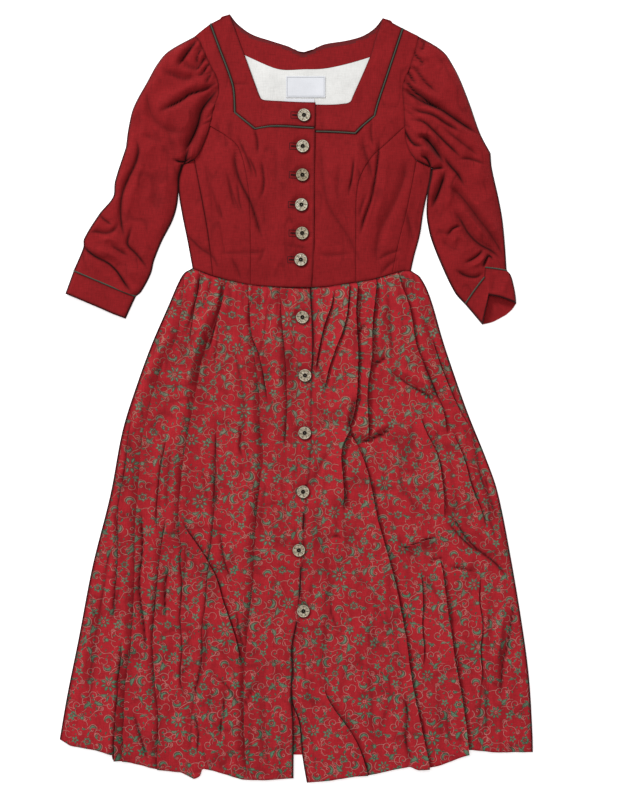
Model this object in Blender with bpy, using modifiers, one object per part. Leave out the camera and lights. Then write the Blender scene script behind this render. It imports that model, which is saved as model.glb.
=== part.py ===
# Dirndl laid flat on its back: a long dress with puffed sleeves that buttons down the front.
# X runs across, with the wearer's left at +X. Y runs up to the neck. Z is up from the surface.
# Tables hold x and y in millimetres, heights are in millimetres too, and objects are in metres.

import math

import bmesh
import bpy
from mathutils import Vector
from mathutils.bvhtree import BVHTree

MM = 0.001

# Cloth
WALL = 1.2
LINING_WALL = 1.0
LAYER_GAP = 0.3
SEAM_INSET = 0.2
INSIDE_TOP = 5.0  # highest underside, where folded layers lie on each other
BOW_FADE = 3  # how fast a panel's sections straighten away from a curved top or bottom edge
EDGE_TOP = 2.7  # top of a front where it is sewn to the back

# Bodice heights
BODICE_TOP = 4.4
NECK_LIFT = 1.0
NECK_LIFT_FROM = 400.0
NECK_LIFT_OVER = 40.0
BUST_LIFT = 0.9
BUST_RADIUS = 60.0
BUST_POINTS = ((-75.0, 330.0), (95.0, 330.0))
OVERLAP_LIFT = 1.6
OVERLAP_FROM = -45.0
OVERLAP_OVER = 30.0

# Sleeves and cuffs
TUBE_EDGE = 3.4
EDGE_INSET = 1.5
INNER_INSET = 1.4
CUFF_EDGE = 4.2
CUFF_TOP = 6.6
TUBE_SHOULDER = 1.7  # how quickly a flattened tube reaches its full height from its folds
GATHER_HEIGHT = 1.3
GATHER_REACH = 0.24
WRINKLE_HEIGHT = 0.5
WRINKLE_START = 0.3
WRINKLES_DOWN = 5.0
WRINKLES_ACROSS = 1.5
ARM_ROWS = 8
CUFF_ROWS = 3

# Skirt
SKIRT_BASE = 3.0
WAIST_RISE = 1.4
WAIST_RISE_OVER = 0.08
PLACKET_LIFT = 1.6
PLACKET_FLAT = 50.0
PLACKET_SLOPE = 25.0
MID_LEVEL = 0.45
SKIRT_ROWS = 14
SKIRT_EDGE_SPANS = 60
FOLD_LEAN = 0.2  # shift of the valley beside a crest that falls off more steeply
FIRST_SLOPE = 0.45  # share of the first crest's height halfway to the side seam
SLOPE_SHARE = 0.5  # share of a crest's height halfway to a valley
# Way from the last crest to the front edge, and the share of the crest's height left there
FRONT_SLOPE = ((0.0, 1.0), (0.2, 0.4), (0.4, 0.0), (0.7, 0.0), (1.0, 0.0))

# Spans along the edges of the flat pieces under the fronts
NECK_SPANS = 24
FACING_SPANS = 12
LINING_SPANS = 6
SHOULDER_SPANS = 3
BACK_SIDE_SPANS = 14
BACK_HEM_SPANS = 12

# Piping and buttons
PIPING_RADIUS = 1.2
PIPING_GAP = 0.35
BUTTON_RADIUS = 10.0
BUTTON_STEPS = 12
BUTTON_PROBES = 16  # places round each ring where the cloth's height under a button is read

# Row and column counts of the bodice pieces, shared where they are sewn together
STRAP_ROWS = 7
CORNER_ROWS = 4
BAND_ROWS = 4
FRONT_ROWS = 3
GATHERED_COLUMNS = 9
SIDE_ROWS = STRAP_ROWS + CORNER_ROWS + BAND_ROWS + FRONT_ROWS - GATHERED_COLUMNS
YOKE_COLUMNS = 2
CENTRE_COLUMNS = 6
SIDE_COLUMNS = 4
UNDERARM_COLUMNS = 6
CUFF_SPANS = (6, 2, GATHERED_COLUMNS + SIDE_COLUMNS - 8)

# Neck, x and y of each point, from the wearer's right to the left
BACK_NECK = (
    (-103, 595), (-91, 580), (-69, 564), (-37, 553), (-12, 545), (12, 535),
    (42, 548), (77, 554), (102, 561), (121, 573), (134, 589),
)
FACING_LOWER = (
    (-98, 540), (-80, 532), (-37, 513), (-18, 509), (12, 510),
    (42, 511), (77, 518), (114, 529), (132, 536),
)
FACING_RIGHT_END = (-118, 588)
FACING_LEFT_END = (149, 582)
LINING_LOWER = ((-76, 452), (-40, 448), (12, 446), (60, 447), (104, 451))
LABEL_BOX = (-16, 466, 45, 499)
SIZE_TAB_BOX = (-18, 449, 28, 464)

# Waist seam, from the wearer's right to the left, with the place of its seams
WAIST_UNDERARM_RIGHT = ((-161, 202), (-129, 190))
WAIST_SIDE_RIGHT = ((-129, 190), (-100, 182), (-71, 176))
WAIST_CENTRE_RIGHT = ((-71, 176), (-30, 173), (23, 172))
WAIST_CENTRE_LEFT = ((-10, 172), (40, 173), (92, 180))
WAIST_SIDE_LEFT = ((92, 180), (116, 184), (148, 193))
WAIST_UNDERARM_LEFT = ((148, 193), (166, 198), (178, 198))

# Wearer's right side of the bodice, from the neck down
NECK_RIGHT = (
    ((-103, 595), (-92, 564), (-80, 532), (-57, 469)),
    ((-57, 469), (-54, 464), (-50, 462)),
    ((-50, 462), (-37, 461), (-5, 459), (30, 458)),
)
PIPING_RIGHT = (
    ((-133, 580), (-119, 542), (-103, 500), (-97, 478), (-95, 442)),
    ((-95, 442), (-64, 417)),
    ((-64, 417), (-37, 421), (29, 418)),
)
FRONT_EDGE_RIGHT = ((29, 418), (28, 354), (27, 231), (23, 172))
SHOULDER_RIGHT = ((-157, 561), (-146, 570), (-133, 580))
ARMHOLE_RIGHT = (
    ((-157, 561), (-150, 553), (-140, 531), (-131, 512), (-122, 494),
     (-120, 473), (-127, 452), (-131, 435), (-134, 422)),
    ((-134, 422), (-138, 409), (-149, 382), (-158, 370)),
    ((-158, 370), (-176, 361)),
)
PRINCESS_RIGHT = ((-134, 422), (-110, 407), (-89, 387), (-75, 331), (-71, 256), (-71, 176))
SIDE_SEAM_RIGHT = ((-158, 370), (-143, 292), (-136, 251), (-129, 190))
BODY_SIDE_RIGHT = ((-176, 361), (-180, 342), (-180, 321), (-176, 284), (-169, 245), (-161, 202))

# Wearer's left side of the bodice
NECK_LEFT = (
    ((134, 589), (121, 554), (114, 529), (87, 467)),
    ((87, 467), (84, 460), (79, 457)),
    ((79, 457), (58, 455), (31, 455), (-10, 456)),
)
PIPING_LEFT = (
    ((165, 573), (142, 504), (126, 456), (121, 437)),
    ((121, 437), (102, 421), (91, 410)),
    ((91, 410), (60, 412), (30, 413), (-10, 414)),
)
FRONT_EDGE_LEFT = ((-10, 414), (-10, 172))
SHOULDER_LEFT = ((165, 573), (177, 567), (189, 561))
ARMHOLE_LEFT = (
    ((189, 561), (188, 551), (177, 515), (166, 487), (165, 476), (166, 462), (168, 431), (168, 421)),
    ((168, 421), (170, 400), (176, 382), (186, 368)),
    ((186, 368), (210, 357)),
)
PRINCESS_LEFT = ((168, 421), (141, 396), (114, 370), (95, 330), (92, 256), (92, 180))
SIDE_SEAM_LEFT = ((186, 368), (170, 287), (159, 245), (148, 193))
BODY_SIDE_LEFT = ((210, 357), (206, 338), (202, 319), (197, 287), (192, 254), (183, 220), (178, 198))

# Sleeves: outer fold, inner fold and cuff seam, and the free edges of the cuffs
SLEEVE_OUTER_RIGHT = (
    ((-157, 561), (-199, 537), (-216, 517), (-230, 492), (-252, 451), (-260, 419), (-264, 389)),
    ((-264, 389), (-281, 336), (-284, 312), (-305, 286), (-329, 247), (-330, 234), (-345, 198)),
)
SLEEVE_INNER_RIGHT = (
    (-176, 361), (-183, 342), (-183, 322), (-185, 296), (-192, 274), (-208, 243), (-220, 213),
    (-225, 193), (-240, 165), (-248, 158),
)
CUFF_SEAM_RIGHT = (
    ((-345, 198), (-286, 173)),
    ((-286, 173), (-267, 165)),
    ((-267, 165), (-248, 158)),
)
CUFF_END_RIGHT = (
    ((-358, 162), (-301, 138)),
    ((-301, 138), (-283, 130)),
    ((-283, 130), (-264, 123)),
)
CUFF_OUTER_RIGHT = ((-345, 198), (-358, 162))
SLEEVE_OUTER_LEFT = (
    ((189, 561), (216, 546), (230, 535), (238, 524), (252, 498), (268, 458), (285, 410), (301, 380)),
    ((301, 380), (303, 357), (313, 312), (319, 280), (323, 242), (326, 198)),
)
SLEEVE_INNER_LEFT = (
    (210, 357), (209, 336), (205, 310), (202, 287), (203, 272),
    (209, 246), (227, 201), (246, 163), (261, 146),
)
CUFF_SEAM_LEFT = (
    ((326, 198), (309, 201), (292, 203)),
    ((292, 203), (291, 188)),
    ((291, 188), (275, 167), (261, 146)),
)
CUFF_END_LEFT = (
    ((341, 147), (316, 156), (297, 160)),
    ((297, 160), (295, 150)),
    ((295, 150), (288, 114)),
)
CUFF_UNDER_END_LEFT = (
    ((341, 147), (334, 137), (325, 129)),
    ((325, 129), (316, 124)),
    ((316, 124), (304, 118), (288, 114)),
)
CUFF_OUTER_LEFT = ((326, 198), (332, 192), (337, 175), (340, 159), (341, 147))

# Crown of the sleeve: how far down it is, and its height there
SLEEVE_CROWN = ((0.0, 7.0), (0.1, 8.2), (0.25, 7.2), (0.45, 6.0), (1.0, 5.6))

# Skirt edges, from the waist down, and hems, from the side seam to the front edge
SKIRT_SIDE_RIGHT = (
    (-161, 201), (-173, 195), (-182, 181), (-198, 144), (-224, 84), (-245, 27), (-269, -49),
    (-288, -149), (-316, -261), (-337, -371), (-355, -460), (-366.6, -528),
)
SKIRT_SIDE_LEFT = (
    (178, 197), (192, 188), (207, 158), (227, 90), (247, 30), (267, -26), (294, -93), (312, -145),
    (333, -250), (352, -365), (361, -437), (366, -520), (366.6, -548),
)
SKIRT_EDGE_RIGHT = (
    (23, 171), (26, 120), (27, 64), (22, 10), (22, -54), (19, -108), (14, -160), (10, -235),
    (7, -289), (5, -331), (-1, -359), (-6, -388), (-5, -418), (-7, -463), (-4, -500), (-4, -588),
)
SKIRT_EDGE_LEFT = (
    (-10, 171), (-10, -10), (-13, -196), (-11, -382), (-8, -467), (4, -502), (9, -553), (16, -595),
)
HEM_RIGHT = (
    (-366.6, -528), (-350, -538), (-310, -545), (-286, -552), (-285, -561), (-265, -562), (-235, -569),
    (-214, -575), (-178, -579), (-158, -589), (-149, -585), (-145, -573), (-127, -577), (-84, -590),
    (-52, -591), (-4, -588),
)
HEM_LEFT = (
    (366.6, -548), (306, -548), (270, -544), (268, -550), (229, -566), (202, -574), (188, -575),
    (176, -570), (150, -575), (110, -584), (92, -585), (56, -591), (16, -595),
)
HEM_BACK = (
    (-366.6, -528), (-286, -548), (-149, -551), (6, -552), (161, -550), (269, -545), (366.6, -548),
)

# Skirt folds: fraction of the way from the side seam to the front edge at the waist, at mid level and
# at the hem, the crest's height at each, and the side on which it falls off more steeply
# (-1 towards the side seam, 1 towards the front, 0 alike)
RIGHT_FOLDS = (
    (0.05, 0.07, 0.12, 2.6, 3.2, 2.6, -1),
    (0.13, 0.16, 0.24, 4.4, 5.4, 4.6, -1),
    (0.20, 0.26, 0.38, 3.0, 2.6, 3.2, 0),
    (0.27, 0.37, 0.56, 4.6, 5.6, 5.2, -1),
    (0.36, 0.52, 0.66, 3.0, 2.6, 3.4, 0),
    (0.47, 0.68, 0.76, 4.2, 4.8, 4.4, 1),
    (0.59, 0.77, 0.84, 3.0, 2.2, 2.0, 0),
)
LEFT_FOLDS = (
    (0.05, 0.08, 0.14, 2.6, 3.0, 2.6, 0),
    (0.12, 0.23, 0.27, 3.8, 4.8, 5.2, -1),
    (0.20, 0.35, 0.38, 3.0, 2.4, 3.2, 0),
    (0.29, 0.48, 0.51, 4.6, 4.0, 5.4, -1),
    (0.40, 0.60, 0.62, 3.4, 4.8, 3.0, 1),
    (0.50, 0.71, 0.73, 4.6, 5.4, 4.4, 1),
    (0.61, 0.79, 0.83, 3.2, 2.6, 2.4, 0),
)

# Section of a button from its eye over its rim to its underside, distance from the axis and height
BUTTON_PROFILE = (
    (0.0, 1.4), (1.9, 1.4), (2.3, 2.2), (7.6, 2.2), (8.6, 3.0),
    (9.7, 2.7), (BUTTON_RADIUS, 1.5), (9.2, 0.0), (0.0, 0.0),
)

# Buttons, x and y of each centre, from the neck down
BUTTONS = (
    (12, 438), (10, 390), (9.5, 345.5), (8, 299.5), (9, 255.5), (7, 214.5),
    (9.5, 125.5), (13.5, 35.5), (13, -53.5), (10.5, -144.5), (4, -235), (11, -329),
)

# Name, base colour, roughness, metallic
MATERIALS = {
    "bodice_cloth": ((0.31, 0.014, 0.019, 1.0), 0.85, 0.0),
    "skirt_print": ((0.50, 0.020, 0.031, 1.0), 0.85, 0.0),
    "lining_cloth": ((0.76, 0.76, 0.70, 1.0), 0.9, 0.0),
    "label_cloth": ((0.82, 0.83, 0.84, 1.0), 0.8, 0.0),
    "piping_cloth": ((0.07, 0.085, 0.065, 1.0), 0.7, 0.0),
    "button_metal": ((0.48, 0.41, 0.33, 1.0), 0.45, 0.8),
}


def clear_scene():
    for item in list(bpy.data.objects):
        bpy.data.objects.remove(item)


def make_materials():
    made = {}
    for name, (colour, roughness, metallic) in MATERIALS.items():
        material = bpy.data.materials.new(name)
        material.use_nodes = True
        shader = material.node_tree.nodes["Principled BSDF"]
        shader.inputs["Base Color"].default_value = colour
        shader.inputs["Roughness"].default_value = roughness
        shader.inputs["Metallic"].default_value = metallic
        made[name] = material
    return made


def blend(a, b, t):
    return a * (1.0 - t) + b * t


def ease(value):
    """Smooth step from 0 to 1."""
    value = min(max(value, 0.0), 1.0)
    return value * value * (3.0 - 2.0 * value)


def read_table(rows, position):
    """Value at a position in a table of (position, value) rows."""
    for (low, low_value), (high, high_value) in zip(rows, rows[1:]):
        if position <= high:
            return blend(low_value, high_value, (position - low) / (high - low))
    return rows[-1][1]


def three_levels(at_waist, at_mid, at_hem, down):
    """Value on the way from the waist to the hem."""
    return read_table(((0.0, at_waist), (MID_LEVEL, at_mid), (1.0, at_hem)), down)


# Edges: lists of 2D points

def fractions(edge):
    """Part of the edge's length that lies before each of its points."""
    lengths = [0.0]
    for a, b in zip(edge, edge[1:]):
        lengths.append(lengths[-1] + (b - a).length)
    return [length / lengths[-1] for length in lengths]


def point_at(edge, fraction):
    """Point at a fraction of the edge's length."""
    marks = fractions(edge)
    for a, b, low, high in zip(edge, edge[1:], marks, marks[1:]):
        if fraction <= high:
            return blend(a, b, (fraction - low) / (high - low))
    return edge[-1]


def smooth_edge(table, spans):
    """Evenly spaced points on a smooth curve through the table's points."""
    points = [Vector(row) for row in table]
    steps = 8
    dense = []
    for index in range(len(points) - 1):
        start, end = points[index], points[index + 1]
        before = points[max(index - 1, 0)]
        after = points[min(index + 2, len(points) - 1)]
        span = (end - start).length
        leave = (end - before) * (span / ((start - before).length + span))
        arrive = (after - start) * (span / ((after - end).length + span))
        for step in range(steps):
            t = step / steps
            near = start * (2 * t**3 - 3 * t**2 + 1) + leave * (t**3 - 2 * t**2 + t)
            far = end * (3 * t**2 - 2 * t**3) + arrive * (t**3 - t**2)
            dense.append(near + far)
    dense.append(points[-1])
    return [point_at(dense, step / spans) for step in range(spans + 1)]


def joined_edge(tables, spans):
    """One edge from several stretches, with a corner between each two."""
    points = []
    for table, count in zip(tables, spans):
        points += smooth_edge(table, count)[1 if points else 0:]
    return points


def polyline(table):
    return [Vector(row) for row in table]


# Surfaces: rows of 2D points between four edges

def patch_row(ends, left, right, across, v, fade=BOW_FADE):
    """One section from side to side, bowed near the top and the bottom as those edges are."""
    row = []
    for top_point, bottom_point, u in zip(*ends, across):
        top_bow = top_point - blend(ends[0][0], ends[0][-1], u)
        bottom_bow = bottom_point - blend(ends[1][0], ends[1][-1], u)
        row.append(blend(left, right, u) + top_bow * (1.0 - v) ** fade + bottom_bow * v**fade)
    return row


def patch(top, bottom, left, right, fade=BOW_FADE):
    """Grid with a column for each point of top and bottom, and a row for each point of the sides."""
    rows = len(left) - 1
    marks = list(zip(fractions(top), fractions(bottom)))
    grid = []
    for j in range(rows + 1):
        across = [blend(*pair, j / rows) for pair in marks]
        grid.append(patch_row((top, bottom), left[j], right[j], across, j / rows, fade))
    return grid


def inset(grid, amount=SEAM_INSET):
    """The grid with its outline drawn in, which parts it from its neighbours."""
    last_row = len(grid) - 1
    last_column = len(grid[0]) - 1
    drawn_in = []
    for j, row in enumerate(grid):
        new_row = []
        for i, point in enumerate(row):
            moved = point.copy()
            if i in (0, last_column):
                moved += (row[1 if i == 0 else last_column - 1] - point).normalized() * amount
            if j in (0, last_row):
                moved += (grid[1 if j == 0 else last_row - 1][i] - point).normalized() * amount
            new_row.append(moved)
        drawn_in.append(new_row)
    return drawn_in


# Objects

def link(name, data, material, collection):
    item = bpy.data.objects.new(name, data)
    data.materials.clear()
    data.materials.append(material)
    collection.objects.link(item)
    return item


def cloth_panel(name, grid, tops, material, collection, inside_top=math.inf):
    """A wall of cloth: a grid sheet extruded up, with its top at the given heights."""
    rows, columns = len(grid) - 1, len(grid[0]) - 1
    sheet = bmesh.new()
    bmesh.ops.create_grid(sheet, x_segments=columns, y_segments=rows, size=1.0)
    raised = bmesh.ops.extrude_face_region(sheet, geom=sheet.faces[:])["geom"]
    upper = {item for item in raised if isinstance(item, bmesh.types.BMVert)}
    for vert in sheet.verts:
        i = round((vert.co.x + 1.0) / 2.0 * columns)
        j = round((1.0 - vert.co.y) / 2.0 * rows)
        top = tops[j][i]
        height = top if vert in upper else min(top - WALL, inside_top)
        vert.co = Vector((grid[j][i].x, grid[j][i].y, height)) * MM
    bmesh.ops.recalc_face_normals(sheet, faces=sheet.faces[:])
    mesh = bpy.data.meshes.new(name)
    sheet.to_mesh(mesh)
    sheet.free()
    return link(name, mesh, material, collection)


def flat_piece(name, outline, bottom, wall, material, collection):
    """A flat cut piece: a filled outline with its thickness."""
    curve = bpy.data.curves.new(name, "CURVE")
    curve.dimensions = "2D"
    curve.fill_mode = "BOTH"
    curve.extrude = wall / 2 * MM
    spline = curve.splines.new("POLY")
    spline.points.add(len(outline) - 1)
    for knot, point in zip(spline.points, outline):
        knot.co = (point.x * MM, point.y * MM, 0.0, 1.0)
    spline.use_cyclic_u = True
    item = link(name, curve, material, collection)
    item.location.z = (bottom + wall / 2) * MM
    return item


def piping(name, points, material, collection):
    """A round cord of piping along 3D points in millimetres."""
    curve = bpy.data.curves.new(name, "CURVE")
    curve.dimensions = "3D"
    curve.bevel_depth = PIPING_RADIUS * MM
    curve.bevel_resolution = 1
    curve.use_fill_caps = True
    spline = curve.splines.new("POLY")
    spline.points.add(len(points) - 1)
    for knot, point in zip(spline.points, points):
        knot.co = (point.x * MM, point.y * MM, point.z * MM, 1.0)
    return link(name, curve, material, collection)


def tube_wall(name, outer, inner, material, collection):
    """A cloth tube, open at both ends, through matching outer and inner rings."""
    tube = bmesh.new()
    outside, inside = [
        [[tube.verts.new(point * MM) for point in ring] for ring in rings] for rings in (outer, inner)
    ]
    strips = list(zip(outside, outside[1:])) + list(zip(inside, inside[1:]))
    strips += [(outside[end], inside[end]) for end in (0, -1)]
    for ring, next_ring in strips:
        for k in range(len(ring)):
            after = (k + 1) % len(ring)
            tube.faces.new((ring[k], ring[after], next_ring[after], next_ring[k]))
    bmesh.ops.recalc_face_normals(tube, faces=tube.faces[:])
    mesh = bpy.data.meshes.new(name)
    tube.to_mesh(mesh)
    tube.free()
    return link(name, mesh, material, collection)


# Bodice

def bodice_height(x, y, overlaps):
    """Top of the bodice front; the wearer's right front rises over the left one."""
    height = BODICE_TOP + NECK_LIFT * ease((y - NECK_LIFT_FROM) / NECK_LIFT_OVER)
    for bust_x, bust_y in BUST_POINTS:
        reach = ((x - bust_x) ** 2 + (y - bust_y) ** 2) / BUST_RADIUS**2
        height += BUST_LIFT * math.exp(-reach)
    if overlaps:
        height += OVERLAP_LIFT * ease((x - OVERLAP_FROM) / OVERLAP_OVER)
    return height


def bodice_tops(grid, overlaps):
    return [[bodice_height(point.x, point.y, overlaps) for point in row] for row in grid]


def underarm_tops(grid, overlaps):
    """The bodice height, falling to the back at the side of the body."""
    tops = bodice_tops(grid, overlaps)
    last = len(tops[0]) - 1
    for row in tops:
        for i, top in enumerate(row):
            inward = 1.0 - i / last
            row[i] = blend(EDGE_TOP, top, math.sin(inward * math.pi / 2))
    return tops


def along_seam(edge, overlaps):
    """Piping path on top of a bodice seam."""
    rise = PIPING_GAP + PIPING_RADIUS
    return [Vector((p.x, p.y, bodice_height(p.x, p.y, overlaps) + rise)) for p in edge]


def armhole_edge(tables):
    return joined_edge(tables, (GATHERED_COLUMNS, SIDE_COLUMNS, UNDERARM_COLUMNS))


def build_front_side(side, tables, overlaps, materials, collection):
    """Yoke, centre front, side front and underarm panel of one side."""
    red = materials["bodice_cloth"]
    yoke_rows = (STRAP_ROWS, CORNER_ROWS, BAND_ROWS)
    neck = joined_edge(tables["neck"], yoke_rows)
    seam = joined_edge(tables["piping"], yoke_rows)
    armhole = armhole_edge(tables["armhole"])
    princess = smooth_edge(tables["princess"], SIDE_ROWS)
    side_seam = smooth_edge(tables["side_seam"], SIDE_ROWS)
    body_side = smooth_edge(tables["body_side"], SIDE_ROWS)

    yoke = inset(patch(
        smooth_edge((tables["piping"][0][0], tables["neck"][0][0]), YOKE_COLUMNS),
        smooth_edge((tables["piping"][-1][-1], tables["neck"][-1][-1]), YOKE_COLUMNS),
        seam,
        neck,
    ))
    cloth_panel("yoke_" + side, yoke, bodice_tops(yoke, overlaps), red, collection)

    to_princess = armhole[: GATHERED_COLUMNS + 1] + princess[1:]
    to_front = seam + smooth_edge(tables["front_edge"], FRONT_ROWS)[1:]
    shoulder = smooth_edge(tables["shoulder"], CENTRE_COLUMNS)
    waist = smooth_edge(tables["waist_centre"], CENTRE_COLUMNS)
    if side == "left":
        shoulder.reverse()
        waist.reverse()
    centre = inset(patch(shoulder, waist, to_princess, to_front))
    cloth_panel("centre_front_" + side, centre, bodice_tops(centre, overlaps), red, collection)

    side_top = armhole[GATHERED_COLUMNS: GATHERED_COLUMNS + SIDE_COLUMNS + 1]
    side_waist = smooth_edge(tables["waist_side"], SIDE_COLUMNS)
    if side == "right":
        side_waist.reverse()
    side_front = inset(patch(side_top, side_waist, princess, side_seam))
    cloth_panel("side_front_" + side, side_front, bodice_tops(side_front, overlaps), red, collection)

    under_top = armhole[GATHERED_COLUMNS + SIDE_COLUMNS:]
    under_waist = smooth_edge(tables["waist_underarm"], UNDERARM_COLUMNS)
    if side == "right":
        under_waist.reverse()
    underarm = inset(patch(under_top, under_waist, side_seam, body_side))
    cloth_panel("underarm_panel_" + side, underarm, underarm_tops(underarm, overlaps), red, collection)
    return seam


def build_bodice(materials, collection):
    right = {
        "neck": NECK_RIGHT, "piping": PIPING_RIGHT, "armhole": ARMHOLE_RIGHT, "princess": PRINCESS_RIGHT,
        "side_seam": SIDE_SEAM_RIGHT, "body_side": BODY_SIDE_RIGHT, "shoulder": SHOULDER_RIGHT,
        "front_edge": FRONT_EDGE_RIGHT, "waist_centre": WAIST_CENTRE_RIGHT,
        "waist_side": WAIST_SIDE_RIGHT, "waist_underarm": WAIST_UNDERARM_RIGHT,
    }
    left = {
        "neck": NECK_LEFT, "piping": PIPING_LEFT, "armhole": ARMHOLE_LEFT, "princess": PRINCESS_LEFT,
        "side_seam": SIDE_SEAM_LEFT, "body_side": BODY_SIDE_LEFT, "shoulder": SHOULDER_LEFT,
        "front_edge": FRONT_EDGE_LEFT, "waist_centre": WAIST_CENTRE_LEFT,
        "waist_side": WAIST_SIDE_LEFT, "waist_underarm": WAIST_UNDERARM_LEFT,
    }
    seam_right = build_front_side("right", right, True, materials, collection)
    seam_left = build_front_side("left", left, False, materials, collection)
    green = materials["piping_cloth"]
    piping("yoke_piping_right", along_seam(seam_right, True), green, collection)
    clear_of_overlap = FRONT_EDGE_RIGHT[0][0] + 2 * PIPING_RADIUS
    showing = [point for point in seam_left if point.x > clear_of_overlap]
    piping("yoke_piping_left", along_seam(showing, False), green, collection)


def build_back(materials, collection):
    """The pieces that lie flat under the fronts."""
    red = materials["bodice_cloth"]
    cream = materials["lining_cloth"]
    armhole_right = armhole_edge(ARMHOLE_RIGHT)
    armhole_left = armhole_edge(ARMHOLE_LEFT)
    body_right = smooth_edge(BODY_SIDE_RIGHT, SIDE_ROWS)
    body_left = smooth_edge(BODY_SIDE_LEFT, SIDE_ROWS)
    neck = smooth_edge(BACK_NECK, NECK_SPANS)
    waist = waist_edge(0.0)
    above = Vector((0.0, SEAM_INSET))
    inward = Vector((2 * SEAM_INSET, 0.0))
    outline = (
        neck
        + smooth_edge((BACK_NECK[-1], SHOULDER_LEFT[0], SHOULDER_LEFT[-1]), SHOULDER_SPANS)[1:]
        + [point - inward for point in armhole_left[1:] + body_left[1:-1]]
        + [point + above for point in reversed(waist)]
        + [point + inward for point in reversed(armhole_right[1:] + body_right[1:-1])]
        + smooth_edge((SHOULDER_RIGHT[0], SHOULDER_RIGHT[-1], BACK_NECK[0]), SHOULDER_SPANS)[:-1]
    )
    flat_piece("back_bodice", outline, 0.0, WALL, red, collection)

    level = WALL + LAYER_GAP
    facing_lower = smooth_edge(FACING_LOWER, FACING_SPANS)
    facing = neck + polyline((FACING_LEFT_END,)) + facing_lower[::-1] + polyline((FACING_RIGHT_END,))
    flat_piece("back_neck_facing", facing, level, WALL, red, collection)
    below = Vector((0.0, -LAYER_GAP - SEAM_INSET))
    lining = [point + below for point in facing_lower] + smooth_edge(LINING_LOWER, LINING_SPANS)[::-1]
    flat_piece("back_lining", lining, level, LINING_WALL, cream, collection)

    level += LINING_WALL + LAYER_GAP
    for name, (low_x, low_y, high_x, high_y) in (("label", LABEL_BOX), ("size_tab", SIZE_TAB_BOX)):
        corners = polyline(((low_x, low_y), (high_x, low_y), (high_x, high_y), (low_x, high_y)))
        flat_piece(name, corners, level, LINING_WALL, materials["label_cloth"], collection)


def waist_edges(drop):
    """Waist seams of the right and the left front, both from the wearer's right, moved down by drop."""
    right_side = joined_edge(
        (WAIST_UNDERARM_RIGHT, WAIST_SIDE_RIGHT, WAIST_CENTRE_RIGHT),
        (UNDERARM_COLUMNS, SIDE_COLUMNS, CENTRE_COLUMNS),
    )
    left_side = joined_edge(
        (WAIST_CENTRE_LEFT, WAIST_SIDE_LEFT, WAIST_UNDERARM_LEFT),
        (CENTRE_COLUMNS, SIDE_COLUMNS, UNDERARM_COLUMNS),
    )
    down = Vector((0.0, drop))
    return [point - down for point in right_side], [point - down for point in left_side]


def waist_edge(drop):
    """The whole waist seam from the wearer's right to the left, moved down by drop."""
    right_side, left_side = waist_edges(drop)
    return right_side + [point for point in left_side if point.x > right_side[-1].x]


# Sleeves and cuffs

def flattened_ring(upper_row, upper_heights, lower_row, lower_height, fold_in, side_in, fold_height):
    """One ring of a tube pressed flat: out along its upper layer and back along its lower one."""
    last = len(upper_row) - 1
    drawn = {
        0: (upper_row[1] - upper_row[0]).normalized(),
        last: (upper_row[last - 1] - upper_row[last]).normalized(),
    }

    def fold(i):
        place = upper_row[i] + drawn[i] * fold_in
        return Vector((place.x, place.y, fold_height))

    def layer_point(row, i, height):
        place = row[i] + drawn[i] * side_in if i in drawn else row[i]
        return Vector((place.x, place.y, height))

    over = [layer_point(upper_row, i, upper_heights[i]) for i in range(last + 1)]
    under = [layer_point(lower_row, i, lower_height) for i in range(last, -1, -1)]
    return [fold(0)] + over + [fold(last)] + under


def flattened_rings(upper, lower, tops, edge_top):
    """Outer and inner rings of a tube pressed flat, whose upper and lower grids share both folds."""
    outer, inner = [], []
    outer_folds = (0.0, EDGE_INSET, edge_top / 2)
    inner_folds = (INNER_INSET, EDGE_INSET + INNER_INSET / 2, edge_top / 2)
    for upper_row, lower_row, heights in zip(upper, lower, tops):
        insides = [min(top - WALL, INSIDE_TOP) for top in heights]
        outer.append(flattened_ring(upper_row, heights, lower_row, 0.0, *outer_folds))
        inner.append(flattened_ring(upper_row, insides, lower_row, WALL, *inner_folds))
    return outer, inner


def tube_roundness(across):
    """How far the section of a flattened tube has risen from its folds, from 0 to 1."""
    return min(1.0, TUBE_SHOULDER * math.sin(math.pi * across))


def sleeve_tops(grid):
    """Heights of a sleeve's upper layer: a crown with gathers at its head and slack wrinkles below."""
    rows, columns = len(grid) - 1, len(grid[0]) - 1
    tops = []
    for j in range(rows + 1):
        down = j / rows
        crown = read_table(SLEEVE_CROWN, down)
        gathers = GATHER_HEIGHT * (1.0 - ease(down / GATHER_REACH))
        row = []
        for i in range(columns + 1):
            across = i / columns
            height = blend(TUBE_EDGE, crown, tube_roundness(across))
            if 0 < i < GATHERED_COLUMNS:
                height += gathers if i % 2 else -gathers
            if 0 < i < columns:
                slack = ease((down - GATHER_REACH) / WRINKLE_START)
                waves = WRINKLES_DOWN * down + WRINKLES_ACROSS * across
                height += WRINKLE_HEIGHT * slack * math.sin(2 * math.pi * waves)
            row.append(height)
        tops.append(row)
    return tops


def cuff_tops(grid):
    columns = len(grid[0]) - 1
    profile = [blend(CUFF_EDGE, CUFF_TOP, tube_roundness(i / columns)) for i in range(columns + 1)]
    return [list(profile) for _ in grid]


def cuff_piping_path(upper_row, tops):
    rise = PIPING_GAP + PIPING_RADIUS
    return [Vector((p.x, p.y, top + rise)) for p, top in zip(upper_row, tops)]


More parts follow.
